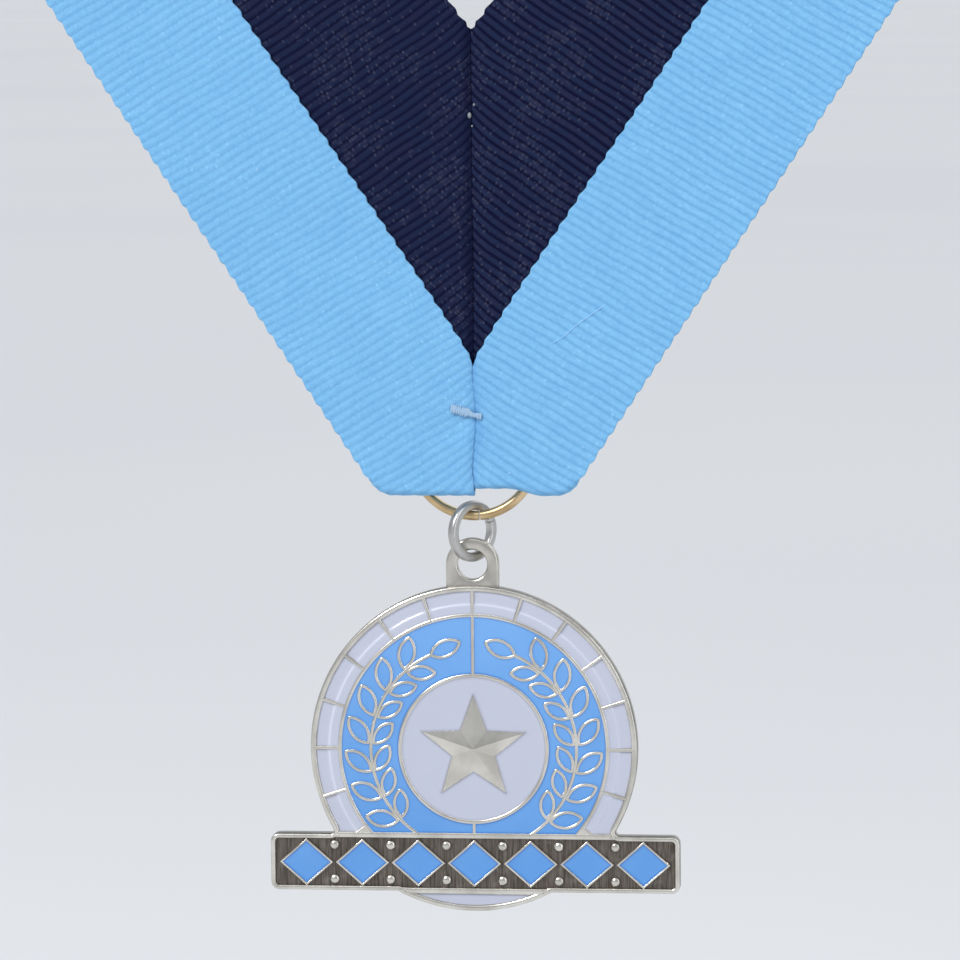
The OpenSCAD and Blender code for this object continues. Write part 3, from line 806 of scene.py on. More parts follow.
# %% Tree that raises the ribs
RIB_SHARPNESS = 1.5
rib_inputs = {"Rib": float, "Relief": float, "Skew": float, "Paint": bpy.types.Material}
rib_tree, given, output = new_tree("grosgrain_ribs", rib_inputs)
cloth_place = node(rib_tree, "GeometryNodeInputNamedAttribute", {"Name": "weave"}, data_type="FLOAT_VECTOR")
across, along, _ = node(rib_tree, "ShaderNodeSeparateXYZ", {"Vector": cloth_place.outputs[0]}).outputs
rib_count = maths(rib_tree, "DIVIDE", wandering(rib_tree, across, along, given["Skew"]), given["Rib"])
wave = maths(rib_tree, "POWER", arches(rib_tree, rib_count), RIB_SHARPNESS)
rise = maths(rib_tree, "MULTIPLY", wave, given["Relief"])
outward = node(rib_tree, "GeometryNodeInputNormal").outputs[0]
move = node(rib_tree, "ShaderNodeVectorMath", {0: outward, "Scale": rise}, operation="SCALE").outputs[0]
ribbed = node(rib_tree, "GeometryNodeSetPosition", {"Geometry": given["Geometry"], "Offset": move}).outputs[0]
end_tree(rib_tree, ribbed, given["Paint"], output)

# %% Make a piece of cloth from two halves
CLOTH_T = 0.5
RELIEF = 0.085


def whole_net(name, halves, keep):
    whole = bmesh.new()
    for half in halves:
        mesh = bpy.data.meshes.new(name)
        part = half.copy()
        gone = [face for face in part.faces if not keep(part, face)]
        bmesh.ops.delete(part, geom=gone, context="FACES")
        part.to_mesh(mesh)
        part.free()
        whole.from_mesh(mesh)
    nape = [vert for vert in whole.verts if abs(vert.co.x) < 1e-4 and vert.co.z > SEAM_HEIGHT]
    bmesh.ops.remove_doubles(whole, verts=nape, dist=1e-3)
    mesh = bpy.data.meshes.new(name)
    whole.to_mesh(mesh)
    whole.free()
    return mesh


def cloth_piece(name, halves, keep, paint, skew):
    sheet = into_scene(name, whole_net(name, halves, keep))
    sheet.data.shade_smooth()
    ribbed = run_tree(name + "_ribbed", sheet, rib_tree, rib=RIB, relief=RELIEF, skew=skew, paint=paint)
    sheet = into_scene(name, ribbed)
    wall = sheet.modifiers.new("cloth thickness", "SOLIDIFY")
    wall.thickness = CLOTH_T
    wall.offset = -1
    return joined(name, [as_mesh(name, sheet)], TO_HUNG, paint)


# %% The four halves: two of the light band, with its tip, and two of the navy band, a little behind it
# A seam is how deep its valley is, how wide, and how far the ribs curl
LIGHT_SEAM, NAVY_SEAM = (0.2, 0.5, 0.85), (0.6, 0.9, 0.7)
NAVY_LAP, NAVY_BEHIND = 1.2, CLOTH_T + 0.06
FOLD_CUT = FOLD_R - FOLD_R * math.pi / 2
ROUND_CUTS, TONGUE_CUTS = np.arange(3.2, -2.4, -0.28), np.arange(-9, TIP_Z + 1, -0.7)
fold_levels = [FOLD_CUT, *ROUND_CUTS, *TONGUE_CUTS]
light_halves, navy_halves = [], []
for side in (-1, 1):
    light_net = half_net(strap_r, strap_r + OUTER_W, bumpy_low=True, bumpy_high=True, depth=0)
    light_halves.append(dress(cut_net(light_net, fold_levels), side, LIGHT_SEAM, is_light=True))
    navy_net = half_net(
        strap_r - INNER_W, strap_r + NAVY_LAP, bumpy_low=True, bumpy_high=False, depth=NAVY_BEHIND,
    )
    navy_halves.append(dress(cut_net(navy_net, ()), side, NAVY_SEAM, is_light=False))
print("points in each half of the light band", [len(half.verts) for half in light_halves])

# %% Bands and tongue, cut apart where the light band starts to go round the fold
def in_band(form, face):
    layer = form.verts.layers.float_vector["weave"]
    drawn = [vert[layer] for vert in face.verts]
    levels = [apex[2] - math.hypot(u, v) * math.cos(half_turn - math.atan2(v, u)) for u, v, _ in drawn]
    return max(levels) > FOLD_CUT + 1e-3


outer_band = cloth_piece("outer_band_cloth", light_halves, in_band, light_ribbon, LIGHT_SKEW)
inner_band = cloth_piece("inner_band_cloth", navy_halves, lambda form, face: True, navy_ribbon, NAVY_SKEW)
fold_tongue = cloth_piece(
    "fold_tongue_cloth", light_halves, lambda form, face: not in_band(form, face), light_ribbon, LIGHT_SKEW,
)
finish_piece(outer_band, "ribbon", "light_ribbon", "outer_band")
finish_piece(inner_band, "ribbon", "navy_ribbon", "inner_band")
finish_piece(fold_tongue, "ribbon", "light_ribbon", "fold_tongue")

# %% [markdown]
# ## Metal finishes and threads
# All metal here shares one effect, fine scratches, drawn out upwards as polishing leaves them. The struck
# plate has another: a dark patina stays in the low places and is polished off the raised lines, so its group
# measures how deep a point lies behind the plate's front. Enamel has the slow unevenness of poured glass.
# Thread is only a fibre pattern, because a single stitch is too small for more.

# %% Shader group for fine scratches
scratch, given, out = new_group("fine_scratches", {"Scale": 900.0}, ["Height", "Cloud"])
metal_place = object_place(scratch)
drawn_out = stretched(scratch, metal_place, (1.0, 1.0, 0.15))
scratch.links.new(noise(scratch, drawn_out, given["Scale"], 4.0), out["Height"])
scratch.links.new(noise(scratch, metal_place, 260.0, 3.0), out["Cloud"])
print("group", scratch.name)

# %% Shader group for the patina
WALL_POLISHED, EYE_POLISHED = 0.72, 0.85

patina_inputs = {"Front": 0.0, "Depth": 0.0006, "Eye foot": 0.0}
patina, given, out = new_group("patina", patina_inputs, ["Grime", "Brushed"])
metal_place = object_place(patina)
_, behind, up = node(patina, "ShaderNodeSeparateXYZ", {"Vector": metal_place}).outputs
deep = maths(patina, "DIVIDE", maths(patina, "SUBTRACT", behind, given["Front"]), given["Depth"])
blotch = spread(patina, noise(patina, metal_place, 700.0, 4.0), 0.2, 0.8, -0.18, 0.18)
grime = spread(patina, maths(patina, "ADD", deep, blotch), 0.12, 0.72)
on_wall = spread(patina, deep, 1.25, 1.9)
on_eye = spread(patina, maths(patina, "SUBTRACT", up, given["Eye foot"]), 0.0, 0.0012)
for part, polished_off in ((on_wall, WALL_POLISHED), (on_eye, EYE_POLISHED)):
    left_on = maths(patina, "SUBTRACT", 1.0, maths(patina, "MULTIPLY", part, polished_off))
    grime = maths(patina, "MULTIPLY", grime, left_on)
brush_marks = noise(patina, stretched(patina, metal_place, (1.0, 0.2, 0.05)), 6500.0, 3.0)
patina.links.new(grime, out["Grime"])
patina.links.new(brush_marks, out["Brushed"])
print("group", patina.name)

# %% Shader group for the unevenness of enamel
flow, given, out = new_group("enamel_flow", {"Size": 300.0}, ["Tint", "Height"])
enamel_place = object_place(flow)
flow.links.new(noise(flow, enamel_place, 90.0), out["Tint"])
flow.links.new(noise(flow, enamel_place, given["Size"], 1.0), out["Height"])
print("group", flow.name)

# %% Wire and thread materials
def wire_paint(name, dull, bright, roughness):
    paint, tree, shader = material(name, Metallic=1.0)
    marks = use_group(tree, scratch, Scale=1400.0)
    worn = spread(tree, marks["Cloud"], 0.3, 0.7)
    gloss = spread(tree, marks["Cloud"], 0.3, 0.7, roughness + 0.08, roughness)
    tree.links.new(blend_colour(tree, worn, dull, bright), shader.inputs["Base Color"])
    tree.links.new(gloss, shader.inputs["Roughness"])
    raise_surface(tree, shader, marks["Height"], 0.02 * MM, 0.6)
    return paint


def thread_paint(name, dark, light):
    paint, tree, shader = material(name, Roughness=0.55, Sheen_Weight=0.2)
    fibre = noise(tree, object_place(tree), 5200.0)
    tree.links.new(blend_colour(tree, fibre, dark, light), shader.inputs["Base Color"])
    raise_surface(tree, shader, fibre, 0.04 * MM, 0.8)
    return paint


gold_wire = wire_paint("satin_gold", (0.50, 0.36, 0.19), (0.70, 0.53, 0.31), 0.27)
silver_wire = wire_paint("satin_silver_wire", (0.40, 0.39, 0.375), (0.56, 0.55, 0.535), 0.3)
thread = thread_paint("tack_thread", (0.245, 0.395, 0.575), (0.325, 0.480, 0.650))
pulled_yarn = thread_paint("pulled_yarn", (0.27, 0.56, 0.86), (0.34, 0.64, 0.92))
lint_fibre = thread_paint("lint_fibre", (0.13, 0.155, 0.18), (0.29, 0.32, 0.35))
print("wires", gold_wire.name, silver_wire.name, "threads", thread.name, pulled_yarn.name, lint_fibre.name)

# %% [markdown]
# ## Tack and rings
# The tack is a bar of short stitches laid side by side across the seam, so one stitch is made and set at
# many places, each turned and sized a little differently. The stitches are shorter on the right, and the
# last few grow again. Both rings are bent from wire and left open by a hair at the slit, so a profile runs
# along an open circle: the gold ring is plain round wire, the silver one has a flatter face.

# %% A ball, or the part of one above a level
def ball(name, half_x, half_y, half_z, around, levels, low=-1.0):
    turns = np.linspace(0, 2 * math.pi, around, endpoint=False)
    points = [(half_x * math.cos(t) * math.cos(a), half_y * math.cos(t) * math.sin(a), half_z * math.sin(t))
              for t in np.linspace(math.asin(low), math.pi / 2, levels) for a in turns]
    made = mesh_object(name, points, net_faces(levels, around))
    with editing(made.data) as form:
        bmesh.ops.remove_doubles(form, verts=form.verts, dist=1e-5)
        bmesh.ops.holes_fill(form, edges=[edge for edge in form.edges if edge.is_boundary])
        bmesh.ops.recalc_face_normals(form, faces=form.faces)
    return made


# %% Tack: one stitch, set side by side across the seam
TACK_L, TACK_H, TACK_SLANT, TACK_END = 4.5, 1.5, math.radians(-13), 0.12
STITCHES, STITCH_HALF_W, STITCH_HALF_T = 27, 0.18, 0.13
TACK_OUT = -0.03
RIGHT_DROP, RIGHT_FROM = 0.2, 0.5
SHORTER_BY, SHORTER_OVER = 0.5, (0.5, 0.75)
LONGER_BY, LONGER_OVER = 0.22, (0.84, 0.94)

steady = np.random.default_rng(7)
along_tack = np.linspace(-TACK_L / 2 + TACK_END, TACK_L / 2 - TACK_END, STITCHES)
places = [
    (x, steady.normal(0, 0.04) - RIGHT_DROP * (x > RIGHT_FROM), steady.normal(0.02, 0.02))
    for x in along_tack
]
turns = [(0, 0, steady.normal(0.12 * (-1) ** k, 0.05)) for k in range(STITCHES)]
share = np.linspace(0, 1, STITCHES)
tall = 1 - SHORTER_BY * smooth_step(share, *SHORTER_OVER) + LONGER_BY * smooth_step(share, *LONGER_OVER)
sizes = [(1, steady.uniform(0.92, 1.04) * part, 1) for part in tall]
stitch = ball("stitch", STITCH_HALF_W, TACK_H / 2, STITCH_HALF_T, 8, 7)
stitch_places = mesh_object("places", places, values={"turn": turns, "size": sizes})
stitches = run_tree("stitches", stitch_places, place_tree, shape=stitch, paint=thread)
bpy.data.objects.remove(stitch)
TO_TACK = (TO_HUNG @ Matrix.Translation((TACK_X, TACK_OUT, TACK_Z)) @ Matrix.Rotation(math.pi / 2, 4, "X")
           @ Matrix.Rotation(TACK_SLANT, 4, "Z"))
tack = joined("tack_stitches", [stitches], TO_TACK, thread)
shade_by_angle(tack, 60)
finish_piece(tack, "ribbon", "thread", "tack")

# %% Profiles and paths for wire
SLIT, RING_STEPS = 0.2, 145
ROUND_WIRE, FLAT_FACED_WIRE = 2, 3.2


def ring_path(r, slit_at):
    half_slit = SLIT / 2 / r
    middle = -math.pi / 2 + math.radians(slit_at)
    turns = np.linspace(middle + half_slit, middle + 2 * math.pi - half_slit, RING_STEPS)
    return [(r * math.cos(a), r * math.sin(a), 0) for a in turns]


def wire_profile(radial, axial, squareness, count=24):
    turns = np.linspace(0, 2 * math.pi, count, endpoint=False)
    power = 2 / squareness
    return [(radial * math.copysign(abs(math.cos(a)) ** power, math.cos(a)),
             axial * math.copysign(abs(math.sin(a)) ** power, math.sin(a)), 0) for a in turns]


def drawn_line(name, paths, profile, paint, closed=False):
    points, edges = [], []
    for path in paths:
        first = len(points)
        points += [(*p[:2], 0) for p in path]
        edges += [(first + k, first + k + 1) for k in range(len(path) - 1)]
        if closed:
            edges.append((len(points) - 1, first))
    count = len(profile)
    shape = mesh_object("profile", profile, edges=[(k, (k + 1) % count) for k in range(count)])
    mesh = run_tree(name, mesh_object("path", points, edges=edges), line_tree, profile=shape, paint=paint)
    bpy.data.objects.remove(shape)
    with editing(mesh) as form:
        bmesh.ops.recalc_face_normals(form, faces=form.faces)
    return mesh


# %% Rings of wire, each open at a slit
GOLD_R, GOLD_SLIT_AT, GOLD_TURNED = 8.75, 5, 0
JUMP_R, JUMP_SLIT_AT, JUMP_TURNED = 3.725, 110, 50


def wire_ring(name, node_name, body, slot, paint, r, profile, slit_at, turned):
    low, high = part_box(node_name)
    place = (Matrix.Translation((low + high) / 2) @ Matrix.Rotation(math.radians(turned), 4, "Z")
             @ Matrix.Rotation(math.pi / 2, 4, "X") @ Matrix.Scale(MM, 4))
    made = joined(name, [drawn_line(name, [ring_path(r, slit_at)], profile, paint)], place, paint)
    shade_by_angle(made, 40)
    finish_piece(made, body, slot, node_name)


wire_ring(
    "gold_ring_wire", "gold_ring", "ribbon", "gold_wire", gold_wire,
    GOLD_R, wire_profile(0.7, 0.7, ROUND_WIRE), GOLD_SLIT_AT, GOLD_TURNED,
)
wire_ring(
    "jump_ring_wire", "jump_ring", "jump_ring", "silver_wire", silver_wire,
    JUMP_R, wire_profile(0.66, 0.675, FLAT_FACED_WIRE), JUMP_SLIT_AT, JUMP_TURNED,
)

# %% [markdown]
# ## Loose threads
# A worn ribbon has small flaws, and they make it look real: a yarn of the light band is pulled out and lies
# across the ribs in a shallow bow, and bits of lint sit at the seam of the navy band. The yarn is a thin
# profile along a drawn path and each bit of lint is a ball. Both are moved out to follow the cloth's waves.

# %% A pulled yarn on the light band and bits of lint at the seam of the navy band
PULLED_FROM, PULLED_TO = np.array([11.4, 21.8]), np.array([18.8, 27.2])
PULLED_R, PULLED_BOW, PULLED_WAVES = 0.06, np.array([0.105, -0.14]), 2.5
LINT_BITS = [((-0.30, 53.9), (0.27, 0.44)), ((0.35, 55.4), (0.15, 0.22)), ((0.05, 52.4), (0.14, 0.17))]
LINT_OUT = -0.95

steps = np.linspace(0, 1, 15)[:, None]
bow = PULLED_BOW * np.sin(PULLED_WAVES * math.pi * steps)
pulled_path = PULLED_FROM + (PULLED_TO - PULLED_FROM) * steps + bow * (1 - steps)
pulled = drawn_line("pulled", [pulled_path], wire_profile(PULLED_R, PULLED_R, ROUND_WIRE, 8), pulled_yarn)
for vert in pulled.vertices:
    vert.co.z += RELIEF + 0.1 * PULLED_R - cloth_wave(vert.co.x, vert.co.y, 1)
lint = []
for (x, y), (half_w, half_h) in LINT_BITS:
    bit = ball("lint", half_w, half_h, half_w, 12, 9)
    for vert in bit.data.vertices:
        vert.co += Vector((x, y, LINT_OUT - cloth_wave(abs(x), y, 1)))
    lint.append(as_mesh("lint", bit))
for name, parts, paint in (("pulled_thread", [pulled], pulled_yarn), ("seam_lint", lint, lint_fibre)):
    made = joined(name, parts, TO_HUNG @ Matrix.Rotation(math.pi / 2, 4, "X"), paint)
    shade_by_angle(made, 60)
    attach(made, "ribbon")
    print(name, "verts", len(made.data.vertices))

# %% [markdown]
# ## The struck plate
# The plate is cast or struck in one piece: a tray with a raised rim, and on its floor the raised lines that
# keep the enamels apart. The tray is lofted through a row of outlines, each a little inside the last, which
# rounds its edges. The lines are a rounded profile run along drawn paths, and what repeats (leaves, border
# ribs, lozenges and studs) is one shape set at many places. All of it is drawn flat, in mm from the middle
# of the eye, with the third axis towards the viewer.

# %% Sizes of the medal
DISC_R, DISC_Y = 23.5, -26.5
BANNER_W, BANNER_H, BANNER_DROP, BANNER_R = 59, 8.2, 43.1, 1.2
FRONT, ENAMEL, GROUND, FLOOR, BACK = 1.3, 1.16, 0.85, 0.7, -1.3
BANNER_TOP = -BANNER_DROP + BANNER_H / 2
BANNER_LOW = -BANNER_DROP - BANNER_H / 2
RIM = 0.6
FILLET_R = 0.5
LINE_W = 0.35
BORDER_TURN = math.radians(18)
BORDER_LINE_R, FIELD_LINE_R = 19.5, 19.0
MEDALLION_R, MEDALLION_LINE_R = 10.3, 10.9
RING_LINE = (BORDER_LINE_R + FIELD_LINE_R) / 2
MEDALLION_LINE = (MEDALLION_R + MEDALLION_LINE_R) / 2
STEM_R = 14.8
LEAF_PAIRS, LEAF_STEP, LEAF_FIRST = 7, math.radians(15.5), math.radians(133)
STEM_FROM = LEAF_FIRST - LEAF_PAIRS * LEAF_STEP
BANNER_RIM, TRAY_IN = 0.5, 0.9
SHARPEST_R = 0.25
SLAB_IN, SLAB_R, SLAB_SINK = 0.45, 0.8, 0.1
print("disc", 2 * DISC_R, "mm across, banner", BANNER_W, "mm wide")

# %% Antique silver
POLISHED = (0.57, 0.545, 0.49), (0.73, 0.70, 0.64)
DARKENED = (0.086, 0.071, 0.058), (0.205, 0.180, 0.155)

antique_silver, tree, shader = material("antique_silver", Metallic=1.0)
eye_foot = float(eye_at.z) - EYE_OUTER_R * MM
old_metal = use_group(tree, patina, Front=float(plate_low.y), Depth=0.6 * MM, Eye_foot=eye_foot)
marks = use_group(tree, scratch, Scale=1800.0)
polished = blend_colour(tree, spread(tree, marks["Cloud"], 0.3, 0.7), *POLISHED)
darkened = blend_colour(tree, spread(tree, old_metal["Brushed"], 0.3, 0.7), *DARKENED)
tree.links.new(blend_colour(tree, old_metal["Grime"], polished, darkened), shader.inputs["Base Color"])
tree.links.new(spread(tree, old_metal["Grime"], 0.0, 1.0, 0.24, 0.46), shader.inputs["Roughness"])
brush_relief = maths(tree, "MULTIPLY", old_metal["Brushed"], old_metal["Grime"])
scratch_relief = maths(tree, "MULTIPLY", marks["Height"], 0.5)
raise_surface(tree, shader, maths(tree, "ADD", brush_relief, scratch_relief), 0.03 * MM, 0.7)
print("material", antique_silver.name)

# %% Outline of the plate, grown or shrunk
def polar(r, turn, middle=(0, DISC_Y)):
    return middle[0] + r * math.sin(turn), middle[1] + r * math.cos(turn)


def fillet_at(r, level, fillet):
    x, y = math.sqrt((r + fillet) ** 2 - (level - DISC_Y) ** 2), level
    return (x, y), math.atan2(x, y - DISC_Y)


def plate_outline(grow):
    banner_grow = grow * BANNER_RIM / RIM if -TRAY_IN <= grow < 0 else grow
    r = DISC_R + grow
    half_w = BANNER_W / 2 + banner_grow
    top, low = BANNER_TOP + banner_grow, BANNER_LOW - banner_grow
    corner = max(BANNER_R + banner_grow, SHARPEST_R)
    fillet = FILLET_R - grow
    upper, upper_turn = fillet_at(r, top + fillet, fillet)
    lower, lower_turn = fillet_at(r, low - fillet, fillet)
    right = [polar(r, a) for a in np.linspace(0, upper_turn, 91)]
    right += [polar(fillet, a, upper) for a in np.linspace(upper_turn + math.pi, math.pi, 8)[1:]]
    right += [polar(corner, a, (half_w - corner, top - corner)) for a in np.linspace(0, math.pi / 2, 9)]
    right += [polar(corner, a, (half_w - corner, low + corner)) for a in np.linspace(math.pi / 2, math.pi, 9)]
    right += [polar(fillet, a, lower) for a in np.linspace(0, lower_turn - math.pi, 8)]
    right += [polar(r, a) for a in np.linspace(lower_turn, math.pi, 31)[1:]]
    return right + [(-x, y) for x, y in reversed(right[1:-1])]


def slab_outline(grow):
    x = BANNER_W / 2 - SLAB_IN - SLAB_R + grow
    y = BANNER_H / 2 - SLAB_IN - SLAB_R + grow
    corners = [(x, -y), (-x, -y), (-x, y), (x, y)]
    return [polar(SLAB_R, math.pi / 2 * (k + 1) + a, (corner_x, corner_y - BANNER_DROP))
            for k, (corner_x, corner_y) in enumerate(corners) for a in np.linspace(0, math.pi / 2, 7)]


# %% Tray of the plate and the banner's ground, each lofted through its outlines
def loft(name, levels, outline_of):
    rings = [[(x, y, z) for x, y in outline_of(grow)] for grow, z in levels]
    count = len(rings[0])
    points = [p for ring in rings for p in ring]
    caps = [range(count), range(len(points) - count, len(points))]
    made = mesh_object(name, points, net_faces(len(rings), count) + caps)
    with editing(made.data) as form:
        bmesh.ops.recalc_face_normals(form, faces=form.faces)
        flat_caps = [face for face in form.faces if len(face.verts) > 4]
        bmesh.ops.triangulate(form, faces=flat_caps, ngon_method="EAR_CLIP")
    return as_mesh(name, made)


# Each level is how far the outline is grown there, and its height
TRAY_LEVELS = [
    (-1.8, -1.17), (-1.6, -1.19), (-1.5, -1.26), (-1.4, BACK), (-0.3, BACK), (-0.09, -1.21), (0, -1.0),
    (0, 0.98), (-0.05, 1.14), (-0.15, 1.25), (-0.32, FRONT), (-0.52, FRONT), (-0.7, 1.25), (-0.81, 1.15),
    (-0.85, 1.02), (-0.85, FLOOR),
]
tray = loft("tray", TRAY_LEVELS, plate_outline)
ground_slab = loft("ground_slab", [(0, FLOOR - SLAB_SINK), (0, GROUND)], slab_outline)
print("tray", len(tray.vertices), "ground slab", len(ground_slab.vertices))

# %% Eye: a flat faced ring on a short neck
EYE_HOLE_R, EYE_HALF_T, EYE_EDGE, NECK_H = 2.1, 0.85, 0.42, 4.4


def eye_section(turn):
    side, up = math.sin(turn), math.cos(turn)
    reach = EYE_OUTER_R if up >= 0 else min(EYE_OUTER_R / max(abs(side), 1e-6), NECK_H / abs(up))
    section = []
    for middle, start in ((reach - EYE_EDGE, 0), (EYE_HOLE_R + EYE_EDGE, math.pi)):
        for level, first in ((EYE_HALF_T - EYE_EDGE, 0), (EYE_EDGE - EYE_HALF_T, math.pi / 2)):
            if start:
                level = -level
            for bend in np.linspace(0, math.pi / 2, 4):
                angle = math.pi / 2 - bend - first - start
                section.append((middle + EYE_EDGE * math.cos(angle), level + EYE_EDGE * math.sin(angle)))
    return [(d * side, d * up, z) for d, z in section]


EYE_STEPS, SECTION = 72, 16
eye_points = [p for k in range(EYE_STEPS) for p in eye_section(2 * math.pi * k / EYE_STEPS)]
eye_object = mesh_object("eye", eye_points, net_faces(EYE_STEPS, SECTION, close_net=True))
with editing(eye_object.data) as form:
    bmesh.ops.recalc_face_normals(form, faces=form.faces)
eye = as_mesh("eye", eye_object)
print("eye", len(eye.vertices))

# %% Profiles of the raised lines: width and rounding of each kind
RING_KIND, MEDALLION_KIND, BANNER_KIND = (0.7, 0.32), (0.72, 0.33), (0.9, 0.25)
STEM_KIND, THIN_KIND, LOZENGE_KIND = (0.56, 0.26), (0.52, 0.24), (0.5, 0.22)
LINE_FOOT, LINE_SINK = 0.04, 0.08
ARC_STEP, FINE_ARC_STEP, FINEST_ARC_STEP = 0.03, 0.02, 0.012


def line_profile(width, rounding):
    half, deep = width / 2, FLOOR - LINE_SINK
    turns = np.linspace(0, math.pi / 2, 6)
    right = [(half - rounding * (1 - math.cos(t)), FRONT - rounding * (1 - math.sin(t))) for t in turns]
    left = [(-x, z) for x, z in reversed(right)]
    section = [(half + LINE_FOOT, deep)] + right + left + [(-half - LINE_FOOT, deep)]
    return [(x, -z, 0) for x, z in section]


def raised(name, paths, kind, closed=False):
    return drawn_line(name, paths, line_profile(*kind), antique_silver, closed)


def arc(r, start, stop, step=ARC_STEP):
    return [polar(r, a) for a in np.linspace(start, stop, max(3, round(abs(stop - start) / step)))]


# %% Lines that are drawn once
CIRCLE_END = 2 * math.pi - ARC_STEP
END_RIB = 7 * BORDER_TURN
RIB_FROM, RIB_TO, END_RIB_TO = 19.2, 23.1, 21.0
TOP_LINE_HALF, LOW_LINE_HALF, LINE_IN = 19.7, 10.0, 0.075
TOP_CORNER, LOW_CORNER = (19.4, 20.4, BANNER_TOP - 0.22), (9.7, 10.9, BANNER_LOW + 0.28)


def meets_banner(r):
    return math.acos((BANNER_TOP - DISC_Y) / r)


ring_end, stem_end = meets_banner(RING_LINE), meets_banner(STEM_R)
ring_line = raised("ring_line", [arc(RING_LINE, -ring_end, ring_end)], RING_KIND)
medallion_line = raised("medallion_line", [arc(MEDALLION_LINE, 0, CIRCLE_END)], MEDALLION_KIND, closed=True)
banner_lines = raised("banner_lines", [
    [(-TOP_LINE_HALF, BANNER_TOP - LINE_IN), (TOP_LINE_HALF, BANNER_TOP - LINE_IN)],
    [(-LOW_LINE_HALF, BANNER_LOW + LINE_IN), (LOW_LINE_HALF, BANNER_LOW + LINE_IN)],
], BANNER_KIND)
thin_lines = raised("thin_lines", [
    [(0, DISC_Y + MEDALLION_LINE), (0, DISC_Y + RING_LINE)],
    [(0, DISC_Y - MEDALLION_LINE), (0, BANNER_TOP)],
    [polar(RIB_FROM, END_RIB), polar(END_RIB_TO, END_RIB)],
    [polar(RIB_FROM, -END_RIB), polar(END_RIB_TO, -END_RIB)],
    *[[(side * near, y), (side * far, y)] for near, far, y in (TOP_CORNER, LOW_CORNER) for side in (-1, 1)],
], THIN_KIND)
stems = raised("stems", [
    arc(STEM_R, STEM_FROM, stem_end), arc(STEM_R, -stem_end, -STEM_FROM),
], STEM_KIND)
print("ring line", len(ring_line.vertices), "thin lines", len(thin_lines.vertices))

# %% Corners where the end ribs meet the banner
CORNER_NEAR_R, CORNER_FAR_R, CORNER_TURN = 19.3, 20.95, math.radians(3.6)
CORNER_LEVELS = [(0, FLOOR - 0.05), (0, FRONT - 0.05)]


def corner_outline(side):
    corner = [(CORNER_NEAR_R, END_RIB), (CORNER_FAR_R, END_RIB), (CORNER_NEAR_R, END_RIB + CORNER_TURN)]
    return [polar(r, side * turn) for r, turn in corner]


corner_fills = [
    loft("corner", CORNER_LEVELS, lambda grow, side=side: corner_outline(side))
    for side in (-1, 1)
]
print("corner fills", len(corner_fills))

# %% Places of the leaves: middle and turn
OUTER_LEAF, INNER_LEAF = (4.1, 1.9), (3.5, 1.55)
LEAF_SPLAY, LEAF_OFFSET = math.radians(40), 0.4


def leaf_places(size):
    long = size[0] / 2 + LINE_W
    side = -1 if size == OUTER_LEAF else 1
    wanted = [(LEAF_FIRST - k * LEAF_STEP, side * LEAF_SPLAY, side * LEAF_OFFSET) for k in range(LEAF_PAIRS)]
    if size == OUTER_LEAF:
        wanted.append((STEM_FROM, 0, 0))
    places = []
    for turn, splay, offset in wanted:
        angle = math.pi - turn + splay
        x, y = polar(STEM_R, turn)
        x += long * math.cos(angle) - offset * math.sin(angle)
        y += long * math.sin(angle) + offset * math.cos(angle)
        places += [(x, y, angle), (-x, y, -angle)]
    return places


outer_places, inner_places = leaf_places(OUTER_LEAF), leaf_places(INNER_LEAF)
print("leaves", len(outer_places) + len(inner_places))

# %% Outline of a leaf, and its raised line set at every place
def leaf_arc(size):
    # A leaf is where two circles overlap: their radius, and how far their middles lie off its midrib
    length, width = size
    r = (length ** 2 + width ** 2) / (4 * width)
    return r, r - width / 2


def leaf_outline(size, grow, count=15):
    r, sink = leaf_arc(size)
    tip = math.sqrt((r + grow) ** 2 - sink ** 2)
    xs = tip * np.sin(np.linspace(-math.pi / 2, math.pi / 2, count))
    upper = [(x, math.sqrt((r + grow) ** 2 - x * x) - sink) for x in xs]
    return upper + [(-x, -y) for x, y in upper[1:-1]]


def set_at(name, shape_mesh, places, paint):
    shape = into_scene("shape", shape_mesh)
    points = mesh_object("places", [(x, y, 0) for x, y, _ in places], values={
        "turn": [(0, 0, turn) for _, _, turn in places], "size": [(1, 1, 1)] * len(places),
    })
    mesh = run_tree(name, points, place_tree, shape=shape, paint=paint)
    bpy.data.objects.remove(shape)
    return mesh


leaf_lines = []
for size, places in ((OUTER_LEAF, outer_places), (INNER_LEAF, inner_places)):
    leaf_line = raised("leaf", [leaf_outline(size, LINE_W / 2)], THIN_KIND, closed=True)
    leaf_lines.append(set_at("leaf_lines", leaf_line, places, antique_silver))
print("leaf lines", [len(mesh.vertices) for mesh in leaf_lines])

# %% Border ribs
border_rib = raised("rib", [[(0, RIB_FROM), (0, RIB_TO)]], THIN_KIND)
rib_places = [(0, DISC_Y, -k * BORDER_TURN) for k in range(-6, 7)]
border_ribs = set_at("border_ribs", border_rib, rib_places, antique_silver)
print("border ribs", len(rib_places))

# %% Lozenge frames and studs
LOZENGES, LOZENGE_STEP, LOZENGE_W, LOZENGE_H, LOZENGE_LINE = 7, 8.1, 3.9, 3.45, 0.45
STUD_R, STUD_Y, STUD_SINK = 0.75, 2.5, 0.1


def lozenge_outline(grow):
    return [(-LOZENGE_W - grow, 0), (0, LOZENGE_H + grow), (LOZENGE_W + grow, 0), (0, -LOZENGE_H - grow)]


